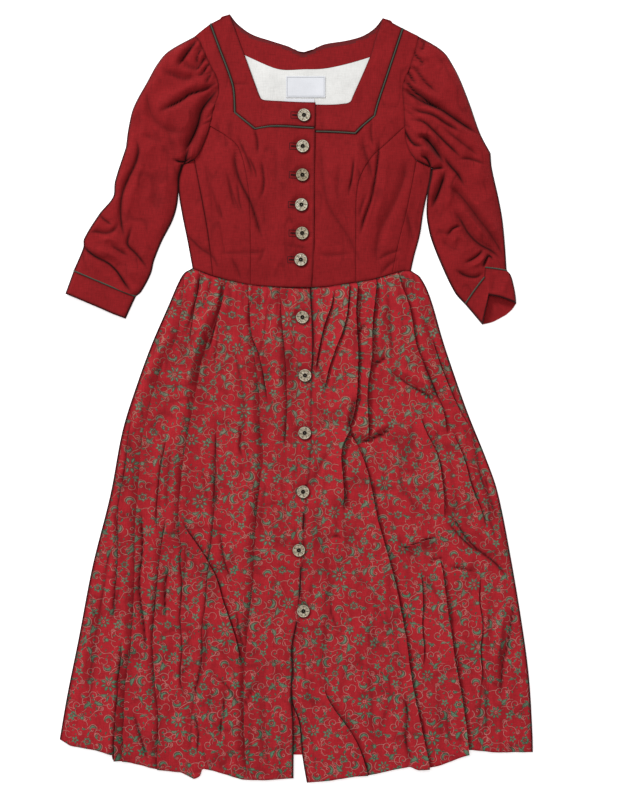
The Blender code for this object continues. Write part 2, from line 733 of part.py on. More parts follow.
def build_sleeve(side, armhole, outer, inner, seam, end, under_end, cuff_outer, materials, collection):
    """Sleeve and cuff of one side. Returns the cuff's first row and its heights, for the piping."""
    red = materials["bodice_cloth"]
    head = joined_edge(armhole[:2], (GATHERED_COLUMNS, SIDE_COLUMNS))
    cuff_seam = joined_edge(seam, CUFF_SPANS)
    outer_fold = joined_edge(outer, (UNDERARM_COLUMNS, ARM_ROWS))
    inner_fold = joined_edge((armhole[2], inner), (UNDERARM_COLUMNS, ARM_ROWS))
    body = inset(patch(head, cuff_seam, outer_fold, inner_fold), 2 * SEAM_INSET)
    rings = flattened_rings(body, body, sleeve_tops(body), TUBE_EDGE)
    tube_wall("sleeve_" + side, *rings, red, collection)

    cuff_fold = smooth_edge(cuff_outer, CUFF_ROWS)
    cuff_inner = smooth_edge((seam[-1][-1], end[-1][-1]), CUFF_ROWS)
    upper = patch(cuff_seam, joined_edge(end, CUFF_SPANS), cuff_fold, cuff_inner, 1)
    lower = patch(cuff_seam, joined_edge(under_end, CUFF_SPANS), cuff_fold, cuff_inner, 1)
    tops = cuff_tops(upper)
    rings = flattened_rings(inset(upper), inset(lower), tops, CUFF_EDGE)
    tube_wall("cuff_" + side, *rings, red, collection)
    return upper[0], tops[0]


def build_sleeves(materials, collection):
    green = materials["piping_cloth"]
    row, tops = build_sleeve(
        "right", ARMHOLE_RIGHT, SLEEVE_OUTER_RIGHT, SLEEVE_INNER_RIGHT, CUFF_SEAM_RIGHT,
        CUFF_END_RIGHT, CUFF_END_RIGHT, CUFF_OUTER_RIGHT, materials, collection,
    )
    piping("cuff_piping_right", cuff_piping_path(row, tops), green, collection)
    row, tops = build_sleeve(
        "left", ARMHOLE_LEFT, SLEEVE_OUTER_LEFT, SLEEVE_INNER_LEFT, CUFF_SEAM_LEFT,
        CUFF_END_LEFT, CUFF_UNDER_END_LEFT, CUFF_OUTER_LEFT, materials, collection,
    )
    path = cuff_piping_path(row, tops)
    kink = CUFF_SPANS[0]
    piping("cuff_piping_left_outer", path[: kink + 1], green, collection)
    piping("cuff_piping_left_inner", path[kink + CUFF_SPANS[1]:], green, collection)


# Skirt

def fold_column(low, high, along, share):
    """Places between two folds, with the share of the first one's heights."""
    places = tuple(blend(a, b, along) for a, b in zip(low[:3], high[:3]))
    heights = tuple(height * share for height in low[3:6])
    return places, heights


def fold_columns(folds):
    """Columns of a skirt front: a crest for each fold, a valley between each two, one point between."""
    side = (0.0, 0.0, 0.0, 0.0, 0.0, 0.0, 0)
    front = (1.0, 1.0, 1.0, 0.0, 0.0, 0.0, 0)
    columns = [fold_column(side, side, 0.0, 0.0), fold_column(folds[0], side, 0.5, FIRST_SLOPE)]
    for low, high in zip(folds, folds[1:]):
        valley = 0.5 + FOLD_LEAN * (high[6] < 0) - FOLD_LEAN * (low[6] > 0)
        columns += [
            fold_column(low, high, 0.0, 1.0),
            fold_column(low, high, valley / 2, SLOPE_SHARE),
            fold_column(low, high, valley, 0.0),
            fold_column(high, low, (1.0 - valley) / 2, SLOPE_SHARE),
        ]
    columns += [fold_column(folds[-1], front, along, share) for along, share in FRONT_SLOPE]
    return columns


def skirt_front(name, edges, folds, overlaps, material, collection):
    """A gathered skirt front: its sections run from the side seam to the front edge."""
    waist, hem, side, edge = edges
    columns = fold_columns(folds)
    grid, tops = [], []
    for j in range(SKIRT_ROWS + 1):
        down = j / SKIRT_ROWS
        base = SKIRT_BASE + WAIST_RISE * (1.0 - ease(down / WAIST_RISE_OVER))
        across = [three_levels(*places, down) for places, _ in columns]
        ends = [[point_at(end, place) for place in across] for end in (waist, hem)]
        front = point_at(edge, down)
        row = patch_row(ends, point_at(side, down), front, across, down)
        heights = [base + three_levels(*crests, down) for _, crests in columns]
        heights[0] = EDGE_TOP
        if overlaps:
            for i, point in enumerate(row):
                beyond = (front.x - point.x - PLACKET_FLAT) / PLACKET_SLOPE
                heights[i] += PLACKET_LIFT * (1.0 - ease(beyond))
        grid.append(row)
        tops.append(heights)
    cloth_panel(name, inset(grid), tops, material, collection, INSIDE_TOP)


def build_skirt(materials, collection):
    cloth = materials["skirt_print"]
    waist_right, waist_left = waist_edges(SEAM_INSET)
    waist_left.reverse()
    side_right, side_left, edge_right, edge_left = [
        [start] + smooth_edge(table, SKIRT_EDGE_SPANS)[1:]
        for start, table in (
            (waist_right[0], SKIRT_SIDE_RIGHT),
            (waist_left[0], SKIRT_SIDE_LEFT),
            (waist_right[-1], SKIRT_EDGE_RIGHT),
            (waist_left[-1], SKIRT_EDGE_LEFT),
        )
    ]
    right = (waist_right, polyline(HEM_RIGHT), side_right, edge_right)
    left = (waist_left, polyline(HEM_LEFT), side_left, edge_left)
    skirt_front("skirt_front_right", right, RIGHT_FOLDS, True, cloth, collection)
    skirt_front("skirt_front_left", left, LEFT_FOLDS, False, cloth, collection)

    back_right = smooth_edge(SKIRT_SIDE_RIGHT, BACK_SIDE_SPANS)[::-1]
    back_left = smooth_edge(SKIRT_SIDE_LEFT, BACK_SIDE_SPANS)
    back_hem = smooth_edge(HEM_BACK, BACK_HEM_SPANS)[::-1]
    outline = waist_edge(SEAM_INSET) + back_left[1:] + back_hem[1:] + back_right[1:-1]
    flat_piece("skirt_back", outline, 0.0, WALL, cloth, collection)


# Buttons

def height_under(items, x, y):
    """Highest point of the given pieces under a button, in millimetres."""
    graph = bpy.context.evaluated_depsgraph_get()
    trees = [BVHTree.FromObject(item, graph) for item in items]
    probes = [(0.0, 0.0)]
    for ring in (BUTTON_RADIUS * 0.4, BUTTON_RADIUS * 0.7, BUTTON_RADIUS):
        for step in range(BUTTON_PROBES):
            angle = 2 * math.pi * step / BUTTON_PROBES
            probes.append((ring * math.cos(angle), ring * math.sin(angle)))
    highest = 0.0
    for dx, dy in probes:
        start = Vector(((x + dx) * MM, (y + dy) * MM, 1.0))
        for tree in trees:
            hit = tree.ray_cast(start, Vector((0.0, 0.0, -1.0)))[0]
            if hit:
                highest = max(highest, hit.z / MM)
    return highest


def build_buttons(materials, collection):
    """Turned discs with a raised rim and a sunk eye, seated on the cloth below them."""
    bpy.context.view_layer.update()
    names = ("yoke_right", "yoke_left", "centre_front_", "skirt_front_")
    fronts = [item for item in collection.objects if item.name.startswith(names)]
    mesh = bpy.data.meshes.new("button")
    points = [(x * MM, 0.0, z * MM) for x, z in BUTTON_PROFILE]
    mesh.from_pydata(points, [(k, k + 1) for k in range(len(points) - 1)], [])
    for number, (x, y) in enumerate(BUTTONS, 1):
        item = link(f"button_{number:02d}", mesh, materials["button_metal"], collection)
        turn = item.modifiers.new("turn", "SCREW")
        turn.steps = turn.render_steps = BUTTON_STEPS
        turn.use_merge_vertices = True
        turn.merge_threshold = 0.05 * MM
        item.location = Vector((x, y, height_under(fronts, x, y) + LAYER_GAP)) * MM


def build():
    clear_scene()
    collection = bpy.data.collections.new("dirndl")
    bpy.context.scene.collection.children.link(collection)
    materials = make_materials()
    build_back(materials, collection)
    build_bodice(materials, collection)
    build_sleeves(materials, collection)
    build_skirt(materials, collection)
    build_buttons(materials, collection)


build()
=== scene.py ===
import math
import random
from functools import reduce

import bpy
import numpy as np
from mathutils import Matrix, Vector, noise


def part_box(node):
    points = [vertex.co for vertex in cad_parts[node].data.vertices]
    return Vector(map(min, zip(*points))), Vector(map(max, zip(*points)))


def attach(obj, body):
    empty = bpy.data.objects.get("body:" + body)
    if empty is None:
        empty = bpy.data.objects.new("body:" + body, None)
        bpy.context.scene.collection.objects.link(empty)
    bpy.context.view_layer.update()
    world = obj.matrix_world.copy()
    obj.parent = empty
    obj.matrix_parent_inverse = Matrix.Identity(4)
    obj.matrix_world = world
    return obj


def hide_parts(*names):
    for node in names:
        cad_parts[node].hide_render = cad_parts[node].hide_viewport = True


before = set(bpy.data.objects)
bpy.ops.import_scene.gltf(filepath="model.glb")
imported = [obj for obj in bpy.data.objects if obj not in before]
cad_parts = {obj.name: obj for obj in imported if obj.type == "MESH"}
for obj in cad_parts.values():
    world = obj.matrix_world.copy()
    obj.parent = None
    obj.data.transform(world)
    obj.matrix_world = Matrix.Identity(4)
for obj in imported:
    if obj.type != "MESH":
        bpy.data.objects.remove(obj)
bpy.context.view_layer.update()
print("frame loaded")

# Tables and lengths are in millimetres: x to the wearer's left, y to the neck, z up from the floor.
mm = 0.001

# camera, floor and light

view = {
    "aim": (19.7, -2.5),
    "height": 1240.0,      # what the frame shows from top to bottom
    "lens": 85.0,
    "sensor": 36.0,
}


def setCamera():
    data = bpy.data.cameras.new("camera")
    data.lens = view["lens"]
    data.sensor_width = view["sensor"]
    data.dof.use_dof = False
    camera = bpy.data.objects.new("camera", data)
    distance = view["height"] * view["lens"] / view["sensor"]
    camera.location = (view["aim"][0] * mm, view["aim"][1] * mm, distance * mm)
    bpy.context.scene.collection.objects.link(camera)
    bpy.context.scene.camera = camera


studio = {
    "floorSize": 40.0,
    "floorColour": (0.95, 0.95, 0.95, 1.0),
    "floorGlow": 0.5,
    "sky": 0.4,
    # name, place, size, watts
    "lamps": (
        ("lampAbove", (-0.4, 0.5, 3.4), 1.7, 32.0),
        ("lampSide", (-2.7, 4.4, 3.1), 1.3, 250.0),
    ),
}


def setStudio():
    bpy.ops.mesh.primitive_plane_add(size=studio["floorSize"], location=(0, 0, -0.0006))
    floor = bpy.context.object
    floor.name = "floor"
    bpy.ops.object.transform_apply(location=True, rotation=True, scale=True)
    material = newMaterial("paleFloor")
    setLooks(material, {
        "Base Color": studio["floorColour"], "Roughness": 0.9,
        "Emission Color": (1.0, 1.0, 1.0, 1.0), "Emission Strength": studio["floorGlow"],
    })
    floor.data.materials.append(material)
    for name, place, size, watts in studio["lamps"]:
        data = bpy.data.lights.new(name, "AREA")
        data.size = size
        data.energy = watts
        lamp = bpy.data.objects.new(name, data)
        lamp.location = place
        lamp.rotation_euler = (-Vector(place)).to_track_quat("-Z", "Y").to_euler()
        bpy.context.scene.collection.objects.link(lamp)
    world = bpy.data.worlds.new("softRoom")
    world.use_nodes = True
    world.node_tree.nodes["Background"].inputs["Color"].default_value = (1.0, 1.0, 1.0, 1.0)
    world.node_tree.nodes["Background"].inputs["Strength"].default_value = studio["sky"]
    bpy.context.scene.world = world
    bpy.context.scene.view_settings.view_transform = "Standard"


# nodes: a Value is a socket that can be reckoned with like a number

class Value:
    def __init__(self, socket):
        self.socket, self.tree = socket, socket.id_data

    def math(self, operation, *others):
        return reckon(self.tree, operation, self, *others)

    def __add__(self, other):
        return self.math("ADD", other)

    def __sub__(self, other):
        return self.math("SUBTRACT", other)

    def __rsub__(self, other):
        return reckon(self.tree, "SUBTRACT", other, self)

    def __mul__(self, other):
        return self.math("MULTIPLY", other)

    def __truediv__(self, other):
        return self.math("DIVIDE", other)

    def __abs__(self):
        return self.math("ABSOLUTE")

    __radd__, __rmul__ = __add__, __mul__


def link(value, socket):
    # puts a number, a tuple or a Value into a socket
    if isinstance(value, Value):
        value.tree.links.new(value.socket, socket)
    else:
        socket.default_value = value


def newNode(tree, kind, inputs, **settings):
    # a node with some inputs filled, by name or place
    node = tree.nodes.new("ShaderNode" + kind)
    for name, setting in settings.items():
        setattr(node, name, setting)
    for place, value in inputs.items():
        link(value, node.inputs[place])
    return node


def reckon(tree, operation, *values):
    return Value(newNode(tree, "Math", dict(enumerate(values)), operation=operation).outputs[0])


def vector(operation, *values):
    node = newNode(values[0].tree, "VectorMath", dict(enumerate(values)), operation=operation)
    return Value(node.outputs[1 if operation == "LENGTH" else 0])


def either(first, second):
    # a shape is below zero inside: either is two shapes together, and both is what they share
    return first.math("MINIMUM", second)


def both(first, second):
    return first.math("MAXIMUM", second)


def clamped(value):
    return either(both(value, 0.0), 1.0)


def wave(value, kind="SINE"):
    return value.math(kind)


def angleOf(x, y):
    return y.math("ARCTAN2", x)


def separated(value):
    return [Value(socket) for socket in newNode(value.tree, "SeparateXYZ", {0: value}).outputs]


def turned(place, angle):
    node = newNode(place.tree, "VectorRotate", {"Vector": place, "Angle": angle}, rotation_type="Z_AXIS")
    return Value(node.outputs[0])


def mixed(kind, share, first, second):
    # inputs and output of the mix node for each kind
    one, two, result = {"VECTOR": (4, 5, 1), "RGBA": (6, 7, 2)}[kind]
    return Value(newNode(share.tree, "Mix", {0: share, one: first, two: second}, data_type=kind).outputs[result])


def noisy(place, scale, detail=2.0, output="Fac"):
    node = newNode(place.tree, "TexNoise", {"Vector": place, "Scale": scale, "Detail": detail})
    return Value(node.outputs[output])


def attribute(tree, name):
    return Value(newNode(tree, "Attribute", {}, attribute_name=name).outputs["Fac"])


def scaled(colour, shade):
    return Value(newNode(shade.tree, "VectorMath", {0: colour, "Scale": shade}, operation="SCALE").outputs[0])


def bumped(height, strength, distance):
    node = newNode(height.tree, "Bump", {"Strength": strength, "Distance": distance, "Height": height})
    return Value(node.outputs[0])


def newGroup(name, numbers, outputs):
    # a group that takes a place and some numbers
    tree = bpy.data.node_groups.new(name, "ShaderNodeTree")
    tree.interface.new_socket("Place", in_out="INPUT", socket_type="NodeSocketVector")
    for label, value in numbers.items():
        tree.interface.new_socket(label, in_out="INPUT", socket_type="NodeSocketFloat").default_value = value
    for label in outputs:
        tree.interface.new_socket(label, in_out="OUTPUT", socket_type="NodeSocketFloat")
    given = {socket.name: Value(socket) for socket in tree.nodes.new("NodeGroupInput").outputs}
    return tree, given, tree.nodes.new("NodeGroupOutput")


def grouped(group, place, numbers):
    node = newNode(place.tree, "Group", {"Place": place, **numbers}, node_tree=group)
    return {socket.name: Value(socket) for socket in node.outputs}


def newMaterial(name):
    material = bpy.data.materials.new(name)
    material.use_nodes = True
    return material


def setLooks(material, looks):
    for label, value in looks.items():
        link(value, material.node_tree.nodes["Principled BSDF"].inputs[label])


# weave: threads over and under, with slubs, as height and as shade

def weaveGroup():
    tree, given, out = newGroup(
        "plainWeave", {"Threads per metre": 1700.0, "Slubs": 0.5, "Crinkle": 3.0}, ("Height", "Shade"))
    place, count = given["Place"], given["Threads per metre"]

    def stretched(x, y):
        return noisy(vector("MULTIPLY", place, (x, y, 1.0)), 1.0)

    x, y, _ = separated(place)
    threads = wave(x * count * math.pi) * wave(y * count * math.pi)
    slubs = stretched(640.0, 85.0) + stretched(70.0, 700.0) - 1.0
    clouds = noisy(place, 24.0, 3.0) - 0.5
    crinkle = abs(stretched(95.0, 52.0) - 0.5)
    link(threads * 0.3 + slubs * given["Slubs"] - crinkle * given["Crinkle"], out.inputs["Height"])
    link(1.0 + slubs * given["Slubs"] + clouds * 0.3 + threads * 0.05, out.inputs["Shade"])
    return tree


# print: flowers, curls, leaves, stars, buds and drops scattered over a repeat

scroll = {
    "repeat": (124.0, 158.0),
    "seed": 12,
    "tries": 260,
    # name, how many, room that each takes
    "motifs": (
        ("daisy", 2, 12.0), ("rosette", 3, 8.0), ("tendril", 8, 9.0), ("swirl", 7, 8.0), ("curl", 9, 7.5),
        ("bud", 5, 6.0), ("star", 5, 5.0), ("leaf", 12, 5.0), ("drop", 9, 2.6),
    ),
    "wander": 1.6, "shiver": 0.55,     # how far lines stray, slowly and quickly
    "slant": 0.47,
    "line": 0.3, "inner": 0.4, "outer": 0.28, "edge": 0.35,
}


def scatterMotifs():
    # places every motif where it has the most room in the repeat
    rng = random.Random(scroll["seed"])
    wide, high = scroll["repeat"]
    placed, byName = [], {}
    for name, count, room in scroll["motifs"]:
        byName[name] = []
        for _ in range(count):
            best, bestRoom = None, -1e9
            for _ in range(scroll["tries"]):
                x, y = rng.uniform(0, wide), rng.uniform(0, high)
                free = 60.0
                for px, py, other in placed:
                    dx, dy = abs(x - px), abs(y - py)
                    free = min(free, math.hypot(min(dx, wide - dx), min(dy, high - dy)) - other - room)
                if free > bestRoom:
                    best, bestRoom = (x, y), free
            placed.append((*best, room))
            byName[name].append((*best, rng.uniform(0, 2 * math.pi)))
    return byName


def nearestMotif(place, centres):
    # coordinates round the nearest of the centres, turned with it
    wide, high = scroll["repeat"]
    nearest = offset = None
    for x, y, turn in centres:
        away = vector("WRAP", vector("SUBTRACT", place, (x, y, turn * mm)),
                      (wide / 2, high / 2, 1.0), (-wide / 2, -high / 2, -1.0))
        far = vector("LENGTH", away)
        if nearest is None:
            nearest, offset = far, away
        else:
            offset = mixed("VECTOR", far.math("LESS_THAN", nearest), offset, away)
            nearest = either(nearest, far)
    angle = separated(offset)[2] * 1000.0
    x, y, _ = separated(turned(offset, angle))
    # no two are quite the same size
    size = 0.84 + (angle * 1.7).math("FRACT") * 0.34
    return x / size, y / size, nearest / size


def printGroup():
    tree, given, out = newGroup("scrollPrint", {}, ("Fill", "Rim", "Line"))
    cloth = given["Place"]

    def strayed(scale, amount):
        drift = vector("SUBTRACT", noisy(cloth, scale, output="Color"), (0.5, 0.5, 0.5))
        return vector("MULTIPLY", drift, (amount,) * 3)

    place = vector("ADD", vector("MULTIPLY", cloth, (1000.0, 1000.0, 0.0)),
                   vector("ADD", strayed(30.0, 2 * scroll["wander"]), strayed(190.0, 4 * scroll["shiver"])))
    # the rows of the repeat run aslant across the cloth
    place = turned(vector("MULTIPLY", place, (1.0, 1.0, 0.0)), scroll["slant"])
    centres = scatterMotifs()
    fills, lines = [], []

    def far(x, y, centreX, centreY):
        x, y = x - centreX, y - centreY
        return (x * x + y * y).math("SQRT")

    def between(value, low, high):
        return abs(value - (low + high) / 2) - (high - low) / 2

    def stroke(value, within=None):
        # a line where the value is zero, as far as the limit is below zero
        line = abs(value) - scroll["line"]
        lines.append(both(line, within) if within else line)

    def blade(x, y, centreX, centreY, long, wide, bend):
        # a leaf shape, pointed at both ends
        along = (x - centreX) / long
        squared = along * along
        fills.append(abs(y - centreY - squared * bend) - (wide - squared * wide))

    # daisy with eight petals, on a waved stem with a leaf to each side
    x, y, r = nearestMotif(place, centres["daisy"])
    spoke = angleOf(x, y).math("PINGPONG", math.pi / 8)
    outward, aside = r * wave(spoke, "COSINE"), r * wave(spoke)
    fills.append(aside - (wave(clamped((outward - 2.6) / 9.2) * math.pi) * 2.5 - 0.5))
    stroke(r - 1.7)
    stroke(y - wave(x / 7.5) * 5.0, between(r, 13.0, 32.0))
    ax, ay = abs(x), y * x.math("SIGN")
    blade(ax, ay, 19.0, 6.8, 4.6, 1.7, 1.5)
    fills.append(far(ax, ay, 31.0, -5.6) - 1.5)

    # rosette of six notched petals round an open ring, with two small leaves
    x, y, r = nearestMotif(place, centres["rosette"])
    notch = wave(angleOf(x, y) * 18.0, "COSINE") * 0.45
    lobe = abs(wave(angleOf(x, y) * 3.0, "COSINE")) * 2.2
    fills.append(both(r - (3.6 + lobe + notch), 2.2 - r))
    fills.append(r - 0.9)
    blade(x, y, 10.5, 2.0, 3.6, 1.5, 1.2)
    blade(x, y, -10.0, -2.6, 3.2, 1.4, -1.0)
    stroke(y - wave(x / 6.0) * 2.4, between(r, 6.5, 17.0))

    # tendril: an S with a curl at both ends and small leaves
    x, y, r = nearestMotif(place, centres["tendril"])
    ax, ay = abs(x), y * x.math("SIGN")
    stroke(ay - wave(ax / 4.6) * 3.2, ax - 14.2)
    stroke(far(ax, ay, 15.6, 3.2) - 3.4, 12.6 - ax)
    stroke(far(ax, ay, 16.2, 2.6) - 1.4)
    blade(ay, ax, 6.4, 7.6, 3.0, 1.3, 1.0)
    blade(ay, ax, -3.4, 3.4, 2.6, 1.1, -0.8)
    blade(ay, ax, -4.6, 11.6, 2.4, 1.0, 0.8)

    # swirl: one turn of a spiral with a ball inside, and a tail with leaves
    x, y, r = nearestMotif(place, centres["swirl"])
    turn = angleOf(x, y) / (2 * math.pi) + 0.5
    stroke(r - (2.2 + turn * 4.8), r - 8.5)
    fills.append(far(x, y, -1.6, -0.4) - 1.7)
    stroke(x + 7.0 + y * y * 0.035, between(y, -15.0, 0.0))
    blade(y, x, -7.5, -11.8, 4.6, 1.9, -2.4)
    blade(y, x, -14.0, -11.6, 3.4, 1.2, 1.8)
    stroke(far(x, y, 4.0, -9.5) - 6.5, 0.0 - x)

    # curl: a crescent with a line round its back and a hooked tail
    x, y, r = nearestMotif(place, centres["curl"])
    fills.append(both(r - 6.2, 5.2 - far(x, y, 3.2, 1.2)))
    stroke(r - 7.3, x - 1.5)
    stroke(far(x, y, 8.0, 8.6) - 5.6, x + y - 20.0)
    stroke(far(x, y, 3.2, -1.2) - 1.6, 1.9 - x)
    fills.append(far(x, y, 12.8, 6.4) - 1.9)

    # leaf on a long bent stem, with a small second leaf
    x, y, r = nearestMotif(place, centres["leaf"])
    blade(x, y, 0.0, 0.0, 6.4, 2.7, 2.1)
    stroke(y - x * x * 0.06, between(x, -12.0, -5.0))
    blade(x, y, -9.0, 2.0, 2.6, 1.0, -0.8)
    stroke(far(x, y, -1.5, -6.0) - 4.6, -0.5 - x)

    # bud with a crown of rays, on a stem
    x, y, r = nearestMotif(place, centres["bud"])
    angle = angleOf(x, y)
    rays = both(r * wave(angle.math("PINGPONG", 0.26)) - 0.55, between(r, 3.4, 6.6))
    fills.append(either(r - 3.1, both(rays, (abs(angle) - 1.25) * 4.0)))
    stroke(y - wave(x / 5.0) * 2.0, between(x, -15.0, -2.0))

    # star with an open middle, between two arcs
    x, y, r = nearestMotif(place, centres["star"])
    fills.append(both(r - (4.8 + wave(angleOf(x, y) * 5.0, "COSINE") * 1.7), 1.2 - r))
    stroke(far(abs(x), y, 14.0, 0.0) - 6.2, 1.0 - y)

    # drop with a hair
    x, y, r = nearestMotif(place, centres["drop"])
    blade(x, y, 0.0, 0.0, 3.6, 2.0, 0.8)
    stroke(far(x, y, 2.5, 5.0) - 5.4, y - 3.5)

    blots = (noisy(cloth, 420.0) - 0.5) * 1.7
    fill, line = reduce(either, fills) + blots, reduce(either, lines)

    def soft(value):
        return 1.0 - clamped(value / scroll["edge"] + 0.5)

    # a dark rim inside each shape and along each line, and in places a pale line round a shape
    inner, outer = scroll["inner"], scroll["outer"]
    rim = soft(abs(fill + inner) - inner)
    shadow = soft(abs(line - 0.5) - 0.25)
    outline = soft(abs(fill - (outer + 0.25)) - outer)
    shown = clamped((noisy(cloth, 70.0) - 0.5) * 5.0)
    link(soft(fill), out.inputs["Fill"])
    link(both(rim, shadow * 0.5), out.inputs["Rim"])
    link(both(soft(line), outline * shown), out.inputs["Line"])
    return tree


# cloths: colour in full light, threads to the metre, slubs, roughness, sheen and bump
cloths = {
    "darkRedLinen": ((0.240, 0.0090, 0.0114), 1500.0, 0.6, 0.88, 0.03, 0.5),
    "facingBand": ((0.142, 0.0150, 0.0170), 2100.0, 0.3, 0.82, 0.05, 0.3),
    "offWhiteLinen": ((0.76, 0.755, 0.735), 1300.0, 0.22, 0.92, 0.1, 0.4),
    "paleRibbon": ((0.74, 0.75, 0.79), 3200.0, 0.06, 0.6, 0.1, 0.2),
    "greyRibbonLine": ((0.36, 0.37, 0.40), 3200.0, 0.06, 0.6, 0.1, 0.2),
    "greenPiping": ((0.056, 0.066, 0.048), 2400.0, 0.2, 0.75, 0.15, 0.4),
    "redThread": ((0.150, 0.009, 0.012), 4000.0, 0.2, 0.6, 0.2, 0.3),
    "holeThread": ((0.050, 0.004, 0.006), 4000.0, 0.2, 0.7, 0.1, 0.3),
    # painted shade in a buttonhole's slit
    "paintedSlitShade": ((0.030, 0.003, 0.004), 4000.0, 0.1, 0.9, 0.0, 0.2),
    "whiteThread": ((0.80, 0.80, 0.80), 4000.0, 0.2, 0.6, 0.2, 0.3),
    "redScrollPrint": (None, 1900.0, 0.5, 0.85, 0.03, 0.5),
}

printed = {
    "ground": (0.392, 0.0150, 0.0225, 1.0),
    "greyGreen": (0.185, 0.195, 0.135, 1.0),
    "brightGreen": (0.070, 0.215, 0.125, 1.0),
    "rim": (0.040, 0.026, 0.020, 1.0),
    "line": (0.370, 0.245, 0.180, 1.0),
    "lineBelow": (0.560, 0.270, 0.235, 1.0),
    "lineShare": 0.78, "fillShare": 0.95, "rimShare": 0.85, "fleck": 0.5,
}
# share by which the painted shade darkens the colour where it is deepest
paintedShadeStrength = 0.9     # how much darker the deepest crease is


def inked(place, pattern):
    # the green is brighter towards the hem, and uneven; the pale lines are redder there
    y = separated(place)[1]
    patchy = noisy(place, 55.0) - 0.5
    ink = mixed("RGBA", clamped(y * -1.1 + (patchy * 2.2 + 0.05)), printed["greyGreen"], printed["brightGreen"])
    colour = mixed("RGBA", pattern["Line"] * printed["lineShare"], printed["ground"],
                   mixed("RGBA", clamped(y * -2.2), printed["line"], printed["lineBelow"]))
    colour = mixed("RGBA", pattern["Fill"] * printed["fillShare"], colour, ink)
    colour = mixed("RGBA", pattern["Rim"] * printed["rimShare"], colour, printed["rim"])
    fleck = noisy(place, 520.0) - 0.5 + pattern["Fill"] * ((noisy(place, 290.0) - 0.5) * 1.6)
    return scaled(colour, 1.0 + fleck * printed["fleck"])


def clothMaterial(name, weave, motifs):
    colour, count, slubs, roughness, sheen, bump = cloths[name]
    material = newMaterial(name)
    tree = material.node_tree
    place = Value(newNode(tree, "UVMap", {}, uv_map="UVMap").outputs[0])
    threads = grouped(weave, place, {"Threads per metre": count, "Slubs": slubs})
    if colour is None:
        colour = inked(place, grouped(motifs, place, {}))
    # threads vary the colour, and the painted shade darkens it in creases, along seams and edges, and round buttons
    shade = threads["Shade"] * (1.0 - attribute(tree, "paintedShade") * paintedShadeStrength)
    setLooks(material, {
        "Base Color": scaled(colour, shade), "Roughness": roughness, "Sheen Weight": sheen,
        "Specular IOR Level": 0.14, "Normal": bumped(threads["Height"], bump, 0.00025),
    })
    return material


# smooth edges and grids between them

def runAlong(points):
    # how far along its line each point is
    return np.concatenate(([0.0], np.cumsum(np.linalg.norm(np.diff(points, axis=0), axis=1))))


def unit(vectors):
    return vectors / np.maximum(np.linalg.norm(vectors, axis=-1, keepdims=True), 1e-6)


def spread(points, count):
    # evenly spaced points along a line
    run = runAlong(points)
    wanted = np.linspace(0.0, run[-1], count + 1)
    return np.stack([np.interp(wanted, run, points[:, k]) for k in range(points.shape[1])], axis=1)


def curved(table, count):
    # a smooth line through the points of a table
    points = np.array(table, float)
    t = (np.arange(8) / 8)[:, None]
    dense = []
    for k in range(len(points) - 1):
        start, end = points[k], points[k + 1]
        before, after = points[max(k - 1, 0)], points[min(k + 2, len(points) - 1)]
        span = np.linalg.norm(end - start)
        leave = (end - before) * span / (np.linalg.norm(start - before) + span)
        arrive = (after - start) * span / (np.linalg.norm(after - end) + span)
        dense.append(start * (2 * t**3 - 3 * t**2 + 1) + leave * (t**3 - 2 * t**2 + t)
                     + end * (3 * t**2 - 2 * t**3) + arrive * (t**3 - t**2))
    dense.append(points[-1:])
    return spread(np.vstack(dense), count)


def joined(tables, counts):
    # a line in several stretches, with a corner between them
    edges = [curved(table, count) for table, count in zip(tables, counts)]
    return np.vstack([edges[0]] + [edge[1:] for edge in edges[1:]])


def placesAlong(points):
    # how far along, as a share of the line's length
    run = runAlong(points)
    return run / run[-1]


def ease(value):
    # from 0 to 1, slowly at both ends
    value = np.clip(value, 0.0, 1.0)
    return value * value * (3.0 - 2.0 * value)


def rolledOver(gap, reach):
    # a quarter of a circle from an edge inwards
    return np.sqrt(1.0 - (1.0 - np.clip(gap / reach, 0, 1)) ** 2)


def raised(net, heights):
    return np.concatenate([net, heights[..., None]], axis=-1)


def darkest(*shades):
    return reduce(np.maximum, shades)


def netBetween(top, bottom, left, right, fade=3):
    # rows from top to bottom, columns from left to right
    v = np.linspace(0.0, 1.0, len(left))[:, None]
    u = (1.0 - v) * placesAlong(top)[None] + v * placesAlong(bottom)[None]
    u3, v3 = u[..., None], v[..., None]
    net = left[:, None] * (1.0 - u3) + right[:, None] * u3
    net = net + (top[None] - top[0] * (1.0 - u3) - top[-1] * u3) * (1.0 - v3) ** fade
    return net + (bottom[None] - bottom[0] * (1.0 - u3) - bottom[-1] * u3) * v3**fade


def drawnIn(net, amount=0.2):
    # the outline drawn in, which parts it from its neighbours
    moved = net.copy()
    for edge, near in ((0, 1), (-1, -2)):
        for axis in (0, 1):
            inward = unit(np.take(net, near, axis) - np.take(net, edge, axis)) * amount
            if axis == 0:
                moved[edge] += inward
            else:
                moved[:, edge] += inward
    return moved


def edgeShadeLine(gap):
    # painted shade: a dark line along an edge
    return bodice["edgeShade"] * np.exp(-np.maximum(gap - 1.8, 0.0) / 1.1)


def edgeGaps(net):
    # distance of each point from the four sides of its net
    return [
        np.linalg.norm(net - net[:1], axis=-1), np.linalg.norm(net - net[-1:], axis=-1),
        np.linalg.norm(net - net[:, :1], axis=-1), np.linalg.norm(net - net[:, -1:], axis=-1),
    ]


def noiseOver(net, wide, tall, depth):
    values = [noise.noise(Vector((x / wide, y / tall, depth))) for x, y in net.reshape(-1, 2)]
    return np.array(values).reshape(net.shape[:2])


def unevenness(net, size, amount, seed):
    # soft hills and hollows
    return noiseOver(net, size, size, seed * 7.3) * amount


def crumples(net, wide, tall, amount, seed):
    # shallow creases that meet at angles, longer one way than the other
    return (1.0 - 3.2 * np.abs(noiseOver(net, wide, tall, seed * 5.1))) * amount


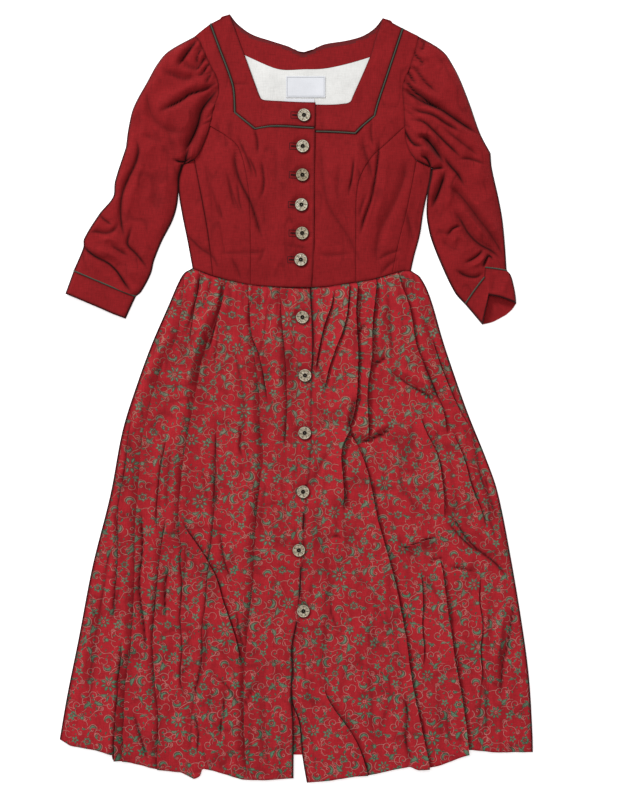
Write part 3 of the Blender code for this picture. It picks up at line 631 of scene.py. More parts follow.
def wrinkles(net, wide, tall, seed):
    # thin broken lines, 1 in the middle of each
    lines = noiseOver(net, wide, tall, seed * 3.7)
    breaks = noiseOver(net, 1.6 * wide, 0.7 * tall, seed * 9.1)
    return np.exp(-((lines / 0.08) ** 2)) * np.clip(3.0 * breaks + 0.1, 0.0, 1.0)


def softForm(net, values, seed):
    # heights of hills and crumples, and thin lines between them
    form = sum(unevenness(net, size, amount, first + seed) for size, amount, first in values["hills"])
    lines = [share * wrinkles(net, wide, tall, first + seed) for wide, tall, share, first in values["wrinkles"]]
    wide, tall, amount, first = values["crumples"]
    return form + crumples(net, wide, tall, amount, first + seed), darkest(*lines)


def shadeFrom(gap, strength, over):
    # painted shade that fades away from an edge
    return strength * np.exp(-gap / over)


# creases: lift, width and the points of a path.
# Such a crease is a soft ridge, or a trough where lift is below zero. One with two more numbers after the width is
# a fold: cloth on its high side, 1 for the left of one who walks the path, lies over a valley by overlap.

# a crease of this lift gets painted shade that is dark all through
deepCrease = 5.0     # the lift of a crease that is dark all through


def creaseParts(row):
    # lift, width, overlap, high side and path
    numbers = [part for part in row if not isinstance(part, tuple)]
    return (numbers + [0, 0])[:4] + [row[len(numbers):]]


def besideLine(points, line):
    # how far aside each point is, how far along, the line's normal there, and the line's length
    best = np.full(len(points), 1e9)
    signed, along, normals = np.zeros(len(points)), np.zeros(len(points)), np.zeros((len(points), 2))
    run = 0.0
    for a, b in zip(line, line[1:]):
        length = np.linalg.norm(b - a)
        step = (b - a) / length
        normal = np.array((-step[1], step[0]))
        offset = points - a
        t = np.clip(offset @ step, 0.0, length)
        far = np.linalg.norm(offset - t[:, None] * step, axis=1)
        closer = far < best
        best[closer] = far[closer]
        signed[closer] = np.where(offset[closer] @ normal < 0, -far[closer], far[closer])
        along[closer] = run + t[closer]
        normals[closer] = normal
        run += length
    return signed, along, normals, run


def pressCreases(net, heights, creases, deeper=1.0, wall=1.1):
    # moves the points of the net and changes their heights, and gives painted shade in troughs and below folds
    flat, high = net.reshape(-1, 2), heights.reshape(-1).copy()
    moved, paintedShade = flat.copy(), np.zeros(len(flat))
    for lift, width, overlap, side, path in map(creaseParts, creases):
        line = curved(path, max(8, 3 * len(path)))
        reach = 3.2 * width + overlap + 4.0
        near = np.all((flat > line.min(axis=0) - reach) & (flat < line.max(axis=0) + reach), axis=1)
        if not near.any():
            continue
        signed, along, normals, length = besideLine(flat[near], line)
        lift = lift * deeper
        taper = min(30.0, length / 3)
        strength = ease(along / taper) * ease((length - along) / taper)
        if side == 0:
            high[near] += lift * strength * np.exp(-((np.abs(signed) / width) ** 1.5))
            if lift < 0:
                # painted shade along a trough
                share = -lift / deepCrease
                deep = min(1.0, share**0.8) * min(1.0, (3.4 / width) ** 1.2 * max(1.0, share)) * strength
                dark = 0.55 * np.exp(-((signed / (0.75 * width)) ** 2)) + 0.45 * np.exp(-((signed / 1.2) ** 2))
                paintedShade[near] = np.maximum(paintedShade[near], deep * dark)
            continue
        up = signed * side
        step = ease((up + wall) / (2 * wall))
        crest = np.exp(-((np.maximum(up, 0.0) / width) ** 1.3))
        down = np.maximum(-up, 0.0)
        valley = 0.3 * np.exp(-(((down - 1.1 * width) / (0.55 * width)) ** 2))
        valley = valley - 0.55 * np.exp(-((down / (0.5 * width)) ** 2))
        high[near] += lift * strength * (step * crest + (1.0 - step) * valley)
        # painted shade on the low side of a fold: a broad band and a crisp line at its edge
        broad = np.exp(-((np.maximum(-up - 0.4, 0.0) / (1.0 + 0.2 * width)) ** 1.5))
        crisp = np.exp(-np.maximum(-up - 0.9 - 0.2 * lift, 0.0) / 0.9)
        share = min(1.0, 1.2 * lift / deepCrease)
        shade = np.where(up < 0.6, 0.55 * share * broad + 0.45 * share**0.5 * crisp, 0.0)
        paintedShade[near] = np.maximum(paintedShade[near], strength**0.7 * shade)
        slide = overlap * strength * np.tanh(up / 1.2) * np.exp(-((up / (2.0 * overlap + 3.0)) ** 2))
        moved[near] -= normals * (side * slide)[:, None]
    return moved.reshape(net.shape), high.reshape(heights.shape), paintedShade.reshape(heights.shape)


# sheets and tubes of cloth

def meshFromNet(name, points, places, closed=False, paintedShade=None):
    # points: rows by columns by xyz; places: the same by two, which say where on the cloth a point is
    rows, columns = points.shape[:2]
    index = np.arange(rows * columns).reshape(rows, columns)
    right = np.roll(index, -1, axis=1) if closed else index[:, 1:]
    left = index if closed else index[:, :-1]
    faces = np.stack([left[:-1], left[1:], right[1:], right[:-1]], axis=-1).reshape(-1, 4)
    flat = points.reshape(-1, 3)
    first = flat[faces[:, 0]]
    facing = np.cross(flat[faces[:, 1]] - first, flat[faces[:, 3]] - first)[:, 2]
    # a sheet faces up, and so does the first column of a tube
    if (facing[index[:-1, 0]] if closed else facing).sum() < 0:
        faces = faces[:, ::-1]
    mesh = bpy.data.meshes.new(name)
    mesh.from_pydata((flat * mm).tolist(), [], faces.tolist())
    layer = mesh.uv_layers.new(name="UVMap")
    corners = np.zeros(len(mesh.loops), dtype=np.int64)
    mesh.loops.foreach_get("vertex_index", corners)
    layer.data.foreach_set("uv", (places.reshape(-1, 2)[corners] * mm).ravel())
    if paintedShade is not None:
        mesh.attributes.new("paintedShade", "FLOAT", "POINT").data.foreach_set("value", paintedShade.ravel())
    return mesh


def addPiece(name, mesh, material, node, angle=70):
    piece = bpy.data.objects.new("cloth_" + name, mesh)
    bpy.context.scene.collection.objects.link(piece)
    mesh.materials.clear()
    mesh.materials.append(material)
    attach(piece, "root")
    if node:
        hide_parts(node)
    only(piece)
    bpy.ops.object.shade_smooth_by_angle(angle=math.radians(angle))
    return piece


def only(piece):
    bpy.ops.object.select_all(action="DESELECT")
    piece.select_set(True)
    bpy.context.view_layer.objects.active = piece


def inEditMode(*steps):
    # steps for the active piece, with all of its mesh selected
    bpy.ops.object.mode_set(mode="EDIT")
    bpy.ops.mesh.select_all(action="SELECT")
    for step in steps:
        step()
    bpy.ops.object.mode_set(mode="OBJECT")


def thicken(piece, wall):
    only(piece)
    modifier = piece.modifiers.new("wall", "SOLIDIFY")
    modifier.thickness = wall * mm
    modifier.offset = -1.0
    bpy.ops.object.modifier_apply(modifier="wall")
    bpy.ops.object.shade_smooth_by_angle(angle=math.radians(70))


def sheetPiece(name, net, heights, places, material, wall=1.0, paintedShade=None):
    piece = addPiece(name, meshFromNet(name, raised(net, heights), places, paintedShade=paintedShade), material, name)
    thicken(piece, wall)
    return piece


# the bodice's edges, from the neck down on each side

waistLine = {
    "right": (
        ((-161, 202), (-129, 190)), ((-129, 190), (-100, 182), (-71, 176)), ((-71, 176), (-30, 173), (23, 172)),
    ),
    "left": (
        ((-10, 172), (40, 173), (92, 180)), ((92, 180), (116, 184), (148, 193)),
        ((148, 193), (166, 198), (178, 198)),
    ),
}

backNeck = (
    (-103, 595), (-91, 580), (-69, 564), (-37, 553), (-12, 545), (12, 535),
    (42, 548), (77, 554), (102, 561), (121, 573), (134, 589),
)
facingLower = (
    (-98, 540), (-80, 532), (-37, 513), (-18, 509), (12, 510),
    (42, 511), (77, 518), (114, 529), (132, 536),
)
facingEnds = ((-118, 588), (149, 582))
liningLower = ((-76, 452), (-40, 448), (12, 446), (60, 447), (104, 451))

sides = {
    "right": {
        "neck": (
            ((-103, 595), (-92, 564), (-80, 532), (-57, 469)),
            ((-57, 469), (-54, 464), (-50, 462)),
            ((-50, 462), (-37, 461), (-5, 459), (30, 458)),
        ),
        "piping": (
            ((-133, 580), (-119, 542), (-103, 500), (-97, 478), (-95, 442)),
            ((-95, 442), (-64, 417)),
            ((-64, 417), (-37, 421), (29, 418)),
        ),
        "frontEdge": ((29, 418), (28, 354), (27, 231), (23, 172)),
        "shoulder": ((-157, 561), (-146, 570), (-133, 580)),
        "armhole": (
            ((-157, 561), (-150, 553), (-140, 531), (-131, 512), (-122, 494),
             (-120, 473), (-127, 452), (-131, 435), (-134, 422)),
            ((-134, 422), (-138, 409), (-149, 382), (-158, 370)),
            ((-158, 370), (-176, 361)),
        ),
        "princess": ((-134, 422), (-110, 407), (-89, 387), (-75, 331), (-71, 256), (-71, 176)),
        "sideSeam": ((-158, 370), (-143, 292), (-136, 251), (-129, 190)),
        "bodySide": ((-176, 361), (-182.2, 342), (-182.6, 321), (-177, 284), (-169, 245), (-161, 202)),
        "sleeveOuter": (
            ((-157, 561), (-199, 537), (-216, 517), (-230, 492), (-252, 451), (-260, 419), (-264, 389)),
            ((-264, 389), (-281, 336), (-284, 312), (-305, 286), (-329, 247), (-330, 234), (-345, 198)),
        ),
        "sleeveInner": (
            (-176, 361), (-181.4, 342), (-182.0, 322), (-185, 296), (-192, 274), (-208, 243), (-220, 213),
            (-225, 193), (-240, 165), (-248, 158),
        ),
        "cuffSeam": (((-345, 198), (-286, 173)), ((-286, 173), (-267, 165)), ((-267, 165), (-248, 158))),
        "cuffEnd": (((-358, 162), (-301, 138)), ((-301, 138), (-283, 130)), ((-283, 130), (-264, 123))),
        "cuffOuter": ((-345, 198), (-358, 162)),
    },
    "left": {
        "neck": (
            ((134, 589), (121, 554), (114, 529), (87, 467)),
            ((87, 467), (84, 460), (79, 457)),
            ((79, 457), (58, 455), (31, 455), (-10, 456)),
        ),
        "piping": (
            ((165, 573), (142, 504), (126, 456), (121, 437)),
            ((121, 437), (102, 421), (91, 410)),
            ((91, 410), (60, 412), (30, 413), (-10, 414)),
        ),
        "frontEdge": ((-10, 414), (-10, 172)),
        "shoulder": ((165, 573), (177, 567), (189, 561)),
        "armhole": (
            ((189, 561), (188, 551), (177, 515), (166, 487), (165, 476), (166, 462), (168, 431), (168, 421)),
            ((168, 421), (170, 400), (176, 382), (186, 368)),
            ((186, 368), (210, 357)),
        ),
        "princess": ((168, 421), (141, 396), (114, 370), (95, 330), (92, 256), (92, 180)),
        "sideSeam": ((186, 368), (170, 287), (159, 245), (148, 193)),
        "bodySide": ((210, 357), (207.8, 338), (203.9, 320), (197, 287), (192, 254), (183, 220), (178, 198)),
        "sleeveOuter": (
            ((189, 561), (216, 546), (230, 535), (238, 524), (252, 498), (268, 458), (285, 410), (301, 380)),
            ((301, 380), (303, 357), (313, 312), (319, 280), (323, 242), (326, 198)),
        ),
        "sleeveInner": (
            (210, 357), (206.8, 338), (203.3, 320), (201.6, 287), (203, 272),
            (209, 246), (227, 201), (246, 163), (261, 146),
        ),
        "cuffSeam": (
            ((326, 198), (309, 201), (292, 203)), ((292, 203), (291, 188)), ((291, 188), (275, 167), (261, 146)),
        ),
        "cuffEnd": (((341, 147), (316, 156), (297, 160)), ((297, 160), (295, 150)), ((295, 150), (288, 114))),
        # its mouth stands open a little, and shows the lower side
        "cuffUnder": (
            ((341, 147), (334, 137), (325, 129)), ((325, 129), (316, 124)), ((316, 124), (304, 118), (288, 114)),
        ),
        "cuffOuter": ((326, 198), (332, 192), (337, 175), (340, 159), (341, 147)),
    },
}

buttonPlaces = [
    (12, 438), (10, 390), (9.5, 345.5), (8, 299.5), (9, 255.5), (7, 214.5),
    (9.5, 125.5), (13.5, 35.5), (13, -53.5), (10.5, -144.5), (4, -235), (11, -329),
]


def seatButtons(net, heights):
    # cloth stays below the buttons that lie on it
    held = heights.copy()
    for number, (x, y) in enumerate(buttonPlaces, 1):
        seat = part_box(f"button_{number:02d}")[0][2] / mm - 0.3
        far = np.hypot(net[..., 0] - x, net[..., 1] - y)
        cover = 1.0 - ease((far - 11.0) / 7.0)
        held = np.where(held > seat, held * (1.0 - cover) + seat * cover, held)
    return held


# bodice

bodice = {
    "top": 4.4, "lowest": 2.9, "underarmEdge": 2.7, "neckLift": 1.0, "neckFrom": 400.0, "neckOver": 40.0,
    "bustLift": 4.2, "bustReach": 62.0, "busts": ((-75.0, 330.0), (95.0, 330.0)),
    "overlapLift": 2.4, "overlapFrom": -45.0, "overlapOver": 30.0,
    "volume": 3.0, "volumeOver": 48.0, "edgeShade": 1.0,
    "seamDip": 1.3, "seamDipReach": 1.8, "wall": 0.7, "deeper": 1.25, "besidePiping": 1.5,
    "subSteps": 20,
    # hills: size, height and seed; crumples: width, length, height and seed; wrinkles: width, length, share and seed
    "hills": ((38.0, 1.3, 0),), "crumples": (17.0, 48.0, 0.42, 1), "wrinkles": ((17.0, 64.0, 1.0, 2),),
    "wrinkleDepth": 0.5, "wrinkleShade": 0.22,
    # how dark the painted shade along these seams is, from the top down
    "princessShade": {"right": (0.32, 0.26, 0.12, 0.08), "left": (0.42, 0.36, 0.26, 0.2)},
    "sideShade": {"right": (0.6, 0.8, 0.75, 0.25), "left": (0.4, 0.24, 0.16, 0.24)},
}

bodiceCreases = {
    "right": (
        (-3.4, 3.6, (-90, 391), (-95, 373), (-92, 351), (-84, 329), (-73, 308), (-66, 290), (-59, 267), (-50, 241)),
        (-2.0, 3, (-92, 410), (-84, 390), (-75, 370), (-69, 351), (-67, 335)),
        (-2.6, 2.4, (-66, 421), (-60, 398), (-60, 373)),
        (-2.6, 2.6, (-55, 373), (-50, 340), (-51, 322), (-58, 303)),
        (-2.0, 2.2, (-76, 378), (-64, 353), (-60, 336)),
        (-1.8, 2.2, (-105, 350), (-103, 330), (-98, 306), (-92, 288)),
        (-1.8, 2.2, (-91, 340), (-88, 304), (-81, 282)),
        (-1.6, 2.2, (-121, 304), (-117, 288), (-113, 272)),
        (-1.4, 2.4, (-112, 410), (-109, 398), (-108, 384)),
        (-1.2, 5, (-33, 397), (-31, 362), (-33, 315)),
        (-1.3, 2.6, (-111, 360), (-103, 332), (-92, 300), (-81, 278)),
        (-1.6, 5, (-143, 373), (-137, 342), (-128, 314), (-114, 267)),
        (-2.6, 4.2, (-183, 267), (-165, 249), (-145, 230), (-131, 221), (-115, 193)),
        (-1.6, 4, (-103, 221), (-92, 202), (-83, 177)),
        (-1.2, 4, (-128, 225), (-87, 225), (-38, 227)),
        (-1.2, 4, (-25, 239), (0, 235), (27, 233)),
        (1.6, 7, (-80, 385), (-78, 354), (-64, 323), (-53, 284)),
        (1.2, 8, (-109, 308), (-100, 269), (-87, 230)),
        (-1.1, 3.2, (-124, 432), (-120, 413), (-118, 393)),
        (-0.9, 3.2, (-109, 486), (-87, 487), (-66, 487)),
        (-1.2, 3.4, (-50, 236), (-53, 221), (-59, 208)),
    ),
    "left": (
        (-3.2, 7, (170, 376), (167, 342), (156, 311), (144, 286), (131, 261), (125, 236), (124, 202)),
        (-3.6, 2.4, (128, 407), (127, 376), (122, 339), (116, 308), (105, 277), (97, 246)),
        (-3.0, 4.6, (102, 410), (105, 385), (113, 360), (119, 332)),
        (-3.0, 2.2, (89, 379), (88, 358), (85, 335), (79, 308)),
        (-1.8, 2.4, (110, 320), (101, 297), (96, 276)),
        (-2.2, 6, (38, 391), (41, 346), (49, 300), (68, 269), (83, 246), (96, 218), (111, 202)),
        (-1.3, 5, (69, 370), (65, 342), (63, 300)),
        (-1.4, 4, (27, 224), (55, 222), (93, 225)),
        (-1.8, 3.4, (120, 211), (139, 222), (167, 232)),
        (-1.6, 3.4, (127, 187), (142, 205), (161, 218)),
        (-2.0, 5, (167, 300), (176, 267), (182, 233)),
        (-1.6, 3.4, (117, 435), (116, 407), (120, 385)),
        (1.8, 7, (139, 385), (137, 339), (130, 300), (116, 258)),
        (1.6, 8, (94, 401), (93, 370), (86, 323)),
        (1.4, 8, (55, 370), (58, 323), (71, 284)),
        (-1.0, 2.4, (93, 357), (99, 345), (102, 329)),
    ),
}


# the right front's edge, and the body's outer edges, at some heights
overlapEdge = ((172, 231, 354, 418, 458), (23, 27, 28, 29, 30))
volumeEdge = (
    (172, 202, 284, 345, 372, 422, 480),
    (-166, -161, -176, -180, -160, -134, -124), (178, 180, 197, 206, 186, 168, 166),
)


def bodiceTop(net, overlaps):
    x, y = net[..., 0], net[..., 1]
    height = bodice["top"] + bodice["neckLift"] * ease((y - bodice["neckFrom"]) / bodice["neckOver"])
    for bustX, bustY in bodice["busts"]:
        far = (x - bustX) ** 2 + (y - bustY) ** 2
        height = height + bodice["bustLift"] * np.exp(-far / bodice["bustReach"] ** 2)
    inside = np.minimum(x - np.interp(y, volumeEdge[0], volumeEdge[1]), np.interp(y, volumeEdge[0], volumeEdge[2]) - x)
    inside = ease(np.minimum(np.minimum(inside, y - 176.0), 452.0 - y) / bodice["volumeOver"])
    height = height + bodice["volume"] * inside * (1.0 - 0.8 * np.exp(-(((x - 10.0) / 26.0) ** 2)))
    if overlaps:
        height = height + bodice["overlapLift"] * ease((x - bodice["overlapFrom"]) / bodice["overlapOver"])
    return height


def fading(*marks):
    # shade at even steps down an edge, as a column
    def along(count):
        return np.interp(np.linspace(0.0, 1.0, count), np.linspace(0.0, 1.0, len(marks)), marks)[:, None]
    return along


def frontShadow(net):
    # painted shadow that the right front's edge casts on what it lies on
    edgeX = np.interp(net[..., 1], overlapEdge[0], overlapEdge[1])
    return 0.85 * np.exp(-np.abs(net[..., 0] - edgeX - 0.3) / 0.75) * (net[..., 1] < 460.0)


def buttonShadow(net, strength, fade):
    # painted shadow on the cloth round each button
    shade = np.zeros(net.shape[:2])
    for x, y in buttonPlaces:
        far = np.hypot(net[..., 0] - x - 0.5, net[..., 1] - y + 0.5)
        shade = np.maximum(shade, strength * np.exp(-np.maximum(far - 9.6, 0.0) / fade))
    return shade


def bodicePanel(name, net, side, material, seed, shades, tops=None):
    # shades: how dark the painted shade is along the top, bottom, left and right edges, and how far in it starts
    net = drawnIn(net)
    form, fine = softForm(net, bodice, seed)
    heights = form + (bodiceTop(net, side == "right") if tops is None else tops(net))
    dip, seam = np.zeros(net.shape[:2]), np.zeros(net.shape[:2])
    for gap, (shade, start) in zip(edgeGaps(net), shades):
        shade = shade(net.shape[0]) if callable(shade) else shade
        dip = dip + (0.35 + 0.65 * shade) * np.exp(-gap / bodice["seamDipReach"])
        seam = darkest(seam, shade * np.exp(-np.maximum(gap - start, 0.0) / 1.1))
    heights = heights - bodice["seamDip"] * np.minimum(dip, 1.0) - bodice["wrinkleDepth"] * fine
    moved, heights, paintedShade = pressCreases(net, heights, bodiceCreases[side], bodice["deeper"])
    # painted shade in creases and wrinkles, along the seams and round the buttons
    paintedShade = darkest(paintedShade * 1.1, bodice["wrinkleShade"] * fine, seam, buttonShadow(net, 0.8, 1.5))
    if side == "left":
        paintedShade = darkest(paintedShade, frontShadow(net))
    heights = seatButtons(net, np.maximum(heights, bodice["lowest"]))
    return sheetPiece(name, moved, heights, net, material, bodice["wall"], paintedShade)


def buildBodiceFronts(material):
    pieces = {}
    sub = bodice["subSteps"]
    for seed, (side, edge) in enumerate(sides.items()):
        seam = joined(edge["piping"], (7 * sub, 4 * sub, 4 * sub))
        neck = joined(edge["neck"], (7 * sub, 4 * sub, 4 * sub))
        armhole = joined(edge["armhole"], (9 * sub, 4 * sub, 6 * sub))
        princess = curved(edge["princess"], 9 * sub)
        sideSeam = curved(edge["sideSeam"], 9 * sub)
        bodySide = curved(edge["bodySide"], 9 * sub)
        rows = list(range(0, 15 * sub, 2)) + list(range(15 * sub, 18 * sub + 1))

        def addPanel(name, net, seed, shades, tops=None, side=side):
            pieces[name + side] = bodicePanel(name + side, net, side, material, seed, shades, tops)

        picks = list(range(0, 15 * sub + 1, 2))
        top = curved((edge["piping"][0][0], edge["neck"][0][0]), 22)
        bottom = curved((edge["piping"][-1][-1], edge["neck"][-1][-1]), 22)
        net = netBetween(top, bottom, seam[picks], neck[picks])
        fromPiping = bodice["besidePiping"]
        addPanel("yoke_", net, 10 + seed, ((0.95, 0.7), (0.8, 0), (1.0, fromPiping), (0.8, 0)))

        toPrincess = np.vstack([armhole[: 9 * sub + 1], princess[1:]])[rows]
        toFront = np.vstack([seam, curved(edge["frontEdge"], 3 * sub)[1:]])[rows]
        shoulder, waist = curved(edge["shoulder"], 54), curved(waistLine[side][2 if side == "right" else 0], 54)
        if side == "left":
            shoulder, waist = shoulder[::-1], waist[::-1]
        net = netBetween(shoulder, waist, toPrincess, toFront)
        princessShade, sideShade = bodice["princessShade"][side], bodice["sideShade"][side]
        frontShade = fading(1.0, 1.0, 1.0, 1.0, 0.45, 0.35)
        besideFront = fading(*[fromPiping] * 5, 0.0)(len(rows))
        shades = ((0.9, 0), (0.4, 0), (fading(0.5, 0.5, 0.4, *princessShade), 0), (frontShade, besideFront))
        addPanel("centre_front_", net, 20 + seed, shades)

        picks = list(range(0, 9 * sub + 1, 2))
        head = armhole[9 * sub: 13 * sub + 1: 2]
        waist = curved(waistLine[side][1], len(head) - 1)
        waist = waist[::-1] if side == "right" else waist
        net = netBetween(head, waist, princess[picks], sideSeam[picks])
        shades = ((0.4, 0), (0.4, 0), (fading(*princessShade), 0), (fading(*sideShade), 0))
        addPanel("side_front_", net, 30 + seed, shades)

        head = armhole[13 * sub:: 3]
        waist = curved(waistLine[side][0 if side == "right" else 2], len(head) - 1)
        waist = waist[::-1] if side == "right" else waist
        net = netBetween(head, waist, sideSeam[picks], bodySide[picks])
        across = np.linspace(1.0, 0.0, net.shape[1])[None]

        def underarmTop(panel, side=side, across=across):
            low = bodice["underarmEdge"]
            return low + (bodiceTop(panel, side == "right") - low) * np.sin(across * math.pi / 2)

        shades = ((0.5, 0), (0.4, 0), (fading(*sideShade), 0), (1.0, 1.5))
        addPanel("underarm_panel_", net, 40 + seed, shades, underarmTop)
    return pieces


# sleeves

sleeve = {
    "foldTop": 1.7, "wall": 0.9, "lowest": 3.2, "highest": 17.5,
    # how high the middle stands, from the head down to the cuff
    "crown": ((0.0, 5.6), (0.04, 10.0), (0.12, 13.5), (0.28, 11.5), (0.5, 8.5), (0.8, 7.2), (1.0, 6.4)),
    "outerRound": 24.0, "innerRound": 15.0,
    "rowsUnderarm": 62, "rowsArm": 128, "columnsGathered": 54, "columnsSide": 22,
    # lift, width and length of the small gathers, and which way they run along the seam
    "gather": (1.6, 2.4, 30.0), "toward": {"right": (205, 215), "left": (-25, -38)},
    "gathers": 17, "gatherSeed": 4, "deeper": 1.2, "tuck": 1.6, "tuckTop": 2.9, "tuckUnder": 1.1,
    "hills": ((46.0, 3.4, 50),), "crumples": (26.0, 38.0, 0.9, 60), "wrinkles": ((22.0, 46.0, 1.0, 70),),
    "wrinkleDepth": 0.7, "wrinkleShade": 0.28, "headShade": {"right": (0.6, 1.6), "left": (0.45, 1.6)},
}

sleeveCreases = {
    "right": (
        (-5.0, 3.6, (-149, 562), (-159, 548), (-168, 535), (-180, 518), (-186, 509)),
        (2.6, 6, (-165, 559), (-174, 545), (-186, 528)),
        (-3.2, 2.6, (-143, 546), (-151, 534), (-154, 521), (-151, 512)),
        (-3.6, 2.4, (-134, 534), (-143, 525), (-151, 512), (-162, 504)),
        (-3.4, 2.4, (-128, 521), (-137, 515), (-145, 503), (-155, 497)),
        (-3.0, 2.6, (-128, 506), (-135, 497), (-140, 484)),
        (-3.4, 5.5, (-211, 509), (-191, 500), (-171, 494), (-149, 500)),
        (-2.8, 5, (-177, 525), (-165, 512), (-149, 512)),
        (2.4, 6, (-196, 515), (-174, 506), (-152, 506)),
        (-5.6, 3.8, (-115, 494), (-132, 483), (-149, 475), (-165, 470), (-180, 459), (-199, 449), (-217, 441)),
        (3.0, 7, (-140, 490), (-162, 484), (-183, 472), (-205, 461)),
        (-4.0, 8, (-231, 487), (-231, 469), (-227, 447), (-214, 425), (-193, 413), (-165, 410)),
        (2.4, 12, (-211, 475), (-199, 453), (-177, 438), (-162, 435)),
        (-2.0, 6, (-239, 407), (-221, 402), (-202, 394)),
        (-8.5, 6.5, (-115, 487), (-131, 467), (-146, 447), (-152, 425), (-160, 405), (-169, 388), (-176, 373)),
        (-6.0, 5, (-162, 401), (-168, 382), (-174, 360), (-180, 339), (-182, 314)),
        (-4.0, 3, (-193, 370), (-177, 366), (-159, 373)),
        (3.4, 8, (-165, 453), (-174, 428), (-180, 404), (-186, 382)),
        (-4.0, 3.8, (-250, 407), (-244, 385), (-248, 365), (-259, 342), (-269, 317), (-272, 289), (-269, 261),
         (-262, 242)),
        (2.6, 7, (-233, 376), (-239, 357), (-248, 332), (-256, 308), (-258, 283)),
        (2.4, 7, (-262, 360), (-273, 335), (-283, 311)),
        (-3.2, 4, (-329, 252), (-314, 258), (-292, 256), (-279, 264), (-275, 280)),
        (-2.6, 3.4, (-307, 286), (-295, 275), (-283, 267)),
        (-3.4, 3.4, (-252, 273), (-258, 255), (-261, 238), (-248, 224), (-233, 205), (-227, 193)),
        (-2.4, 3.6, (-289, 238), (-276, 230), (-258, 219)),
        (2.4, 5, (-304, 242), (-289, 246), (-270, 239)),
        (-5.0, 3.6, (-335, 249), (-326, 232), (-310, 219), (-292, 210), (-278, 197), (-266, 179), (-250, 157)),
        (3.0, 6, (-317, 236), (-298, 227), (-278, 218), (-261, 199), (-245, 177)),
        (-1.6, 7, (-217, 354), (-216, 323), (-224, 284)),
        (1.8, 9, (-199, 370), (-202, 323), (-211, 269)),
    ),
    "left": (
        (-3.6, 2.4, (175, 552), (181, 538), (189, 526), (196, 517), (186, 512)),
        (2.4, 4, (186, 546), (195, 534), (204, 518)),
        (-3.0, 2.4, (189, 556), (198, 549), (195, 540), (186, 545)),
        (-4.4, 3.2, (164, 531), (170, 512), (179, 495), (189, 481)),
        (-3.0, 3, (176, 521), (189, 503), (204, 484), (223, 469)),
        (-5.4, 3.2, (155, 497), (170, 490), (182, 476), (198, 463), (213, 453), (235, 445)),
        (3.4, 4.5, (164, 500), (179, 487), (195, 475), (217, 464), (238, 455)),
        (-5.8, 4.2, (158, 484), (176, 472), (198, 458), (223, 447), (241, 435), (260, 422), (288, 405)),
        (2.6, 5, (198, 450), (223, 435), (248, 419), (269, 407)),
        (-3.4, 3.2, (167, 453), (189, 444), (210, 438), (232, 424), (260, 408)),
        (-3.6, 3.4, (170, 432), (195, 428), (212, 414), (229, 397), (248, 379), (260, 366)),
        (-2.6, 4, (223, 422), (244, 404), (269, 385), (288, 370)),
        (-2.4, 3.4, (244, 370), (269, 370), (297, 360)),
        (-4.2, 3.4, (164, 425), (172, 407), (182, 393), (201, 388)),
        (3.2, 5, (176, 422), (189, 410), (207, 407), (223, 388)),
        (-8.0, 5, (182, 399), (196, 404), (210, 391), (221, 376), (232, 359)),
        (-4.6, 4, (223, 379), (238, 360), (251, 345), (263, 323)),
        (-4.8, 3, (189, 376), (201, 371), (207, 360), (206, 348)),
        (-5.0, 3.4, (201, 351), (217, 356), (232, 356)),
        (3.6, 5, (186, 385), (204, 382), (218, 370), (232, 357)),
        (-6.0, 4.6, (232, 357), (226, 335), (218, 314), (207, 289)),
        (3.6, 6, (213, 345), (207, 323), (204, 304)),
        (3.0, 6, (238, 342), (238, 314), (232, 289)),
        (-5.2, 6, (229, 329), (248, 320), (265, 301), (282, 278), (299, 256), (314, 233), (325, 211)),
        (-6.2, 5.6, (241, 295), (255, 275), (266, 256), (283, 239), (303, 228), (322, 211)),
        (3.6, 5, (251, 301), (266, 283), (285, 259), (303, 241)),
        (3.0, 7, (263, 314), (285, 292), (306, 261), (319, 236)),
        (-3.4, 2.8, (232, 249), (243, 263), (260, 269)),
        (2.6, 5, (238, 239), (254, 249), (269, 236)),
        (-3.4, 3, (257, 208), (272, 215), (285, 225), (292, 236)),
        (2.6, 4, (266, 202), (285, 211), (297, 227)),
        (-3.4, 3.4, (244, 202), (260, 191), (279, 188), (292, 197)),
        (-4.6, 3, (289, 199), (292, 211), (299, 221), (306, 211)),
        (-1.8, 6, (223, 246), (241, 233), (257, 227)),
        (2.0, 9, (223, 525), (238, 494), (254, 456)),
        (-1.8, 6, (210, 537), (229, 515), (241, 481)),
        (-2.0, 7, (306, 323), (313, 286), (316, 252)),
    ),
}


def gatherCreases(edge, values, side, seed):
    # short ridges and troughs that run out of a gathered seam
    rng = random.Random(values["gatherSeed"] + seed)
    count, (lift, width, longest), (first, last) = values["gathers"], values["gather"], values["toward"][side]
    rows = []
    for k in range(count):
        place = (k + 0.5 + rng.uniform(-0.25, 0.25)) / count
        point = edge[int(place * (len(edge) - 1))]
        angle = math.radians(first + (last - first) * place + rng.uniform(-9, 9))
        reach = longest * rng.uniform(0.45, 1.0)
        way = np.array((math.cos(angle), math.sin(angle)))
        bend = np.array((-way[1], way[0])) * rng.uniform(-0.12, 0.12) * reach
        path = (tuple(point - way * 18.0), tuple(point + way * reach * 0.5 + bend), tuple(point + way * reach))
        sign = 1.0 if k % 2 else -0.8
        rows.append((sign * lift * rng.uniform(0.6, 1.15), width * rng.uniform(0.75, 1.2), *path))
    return rows


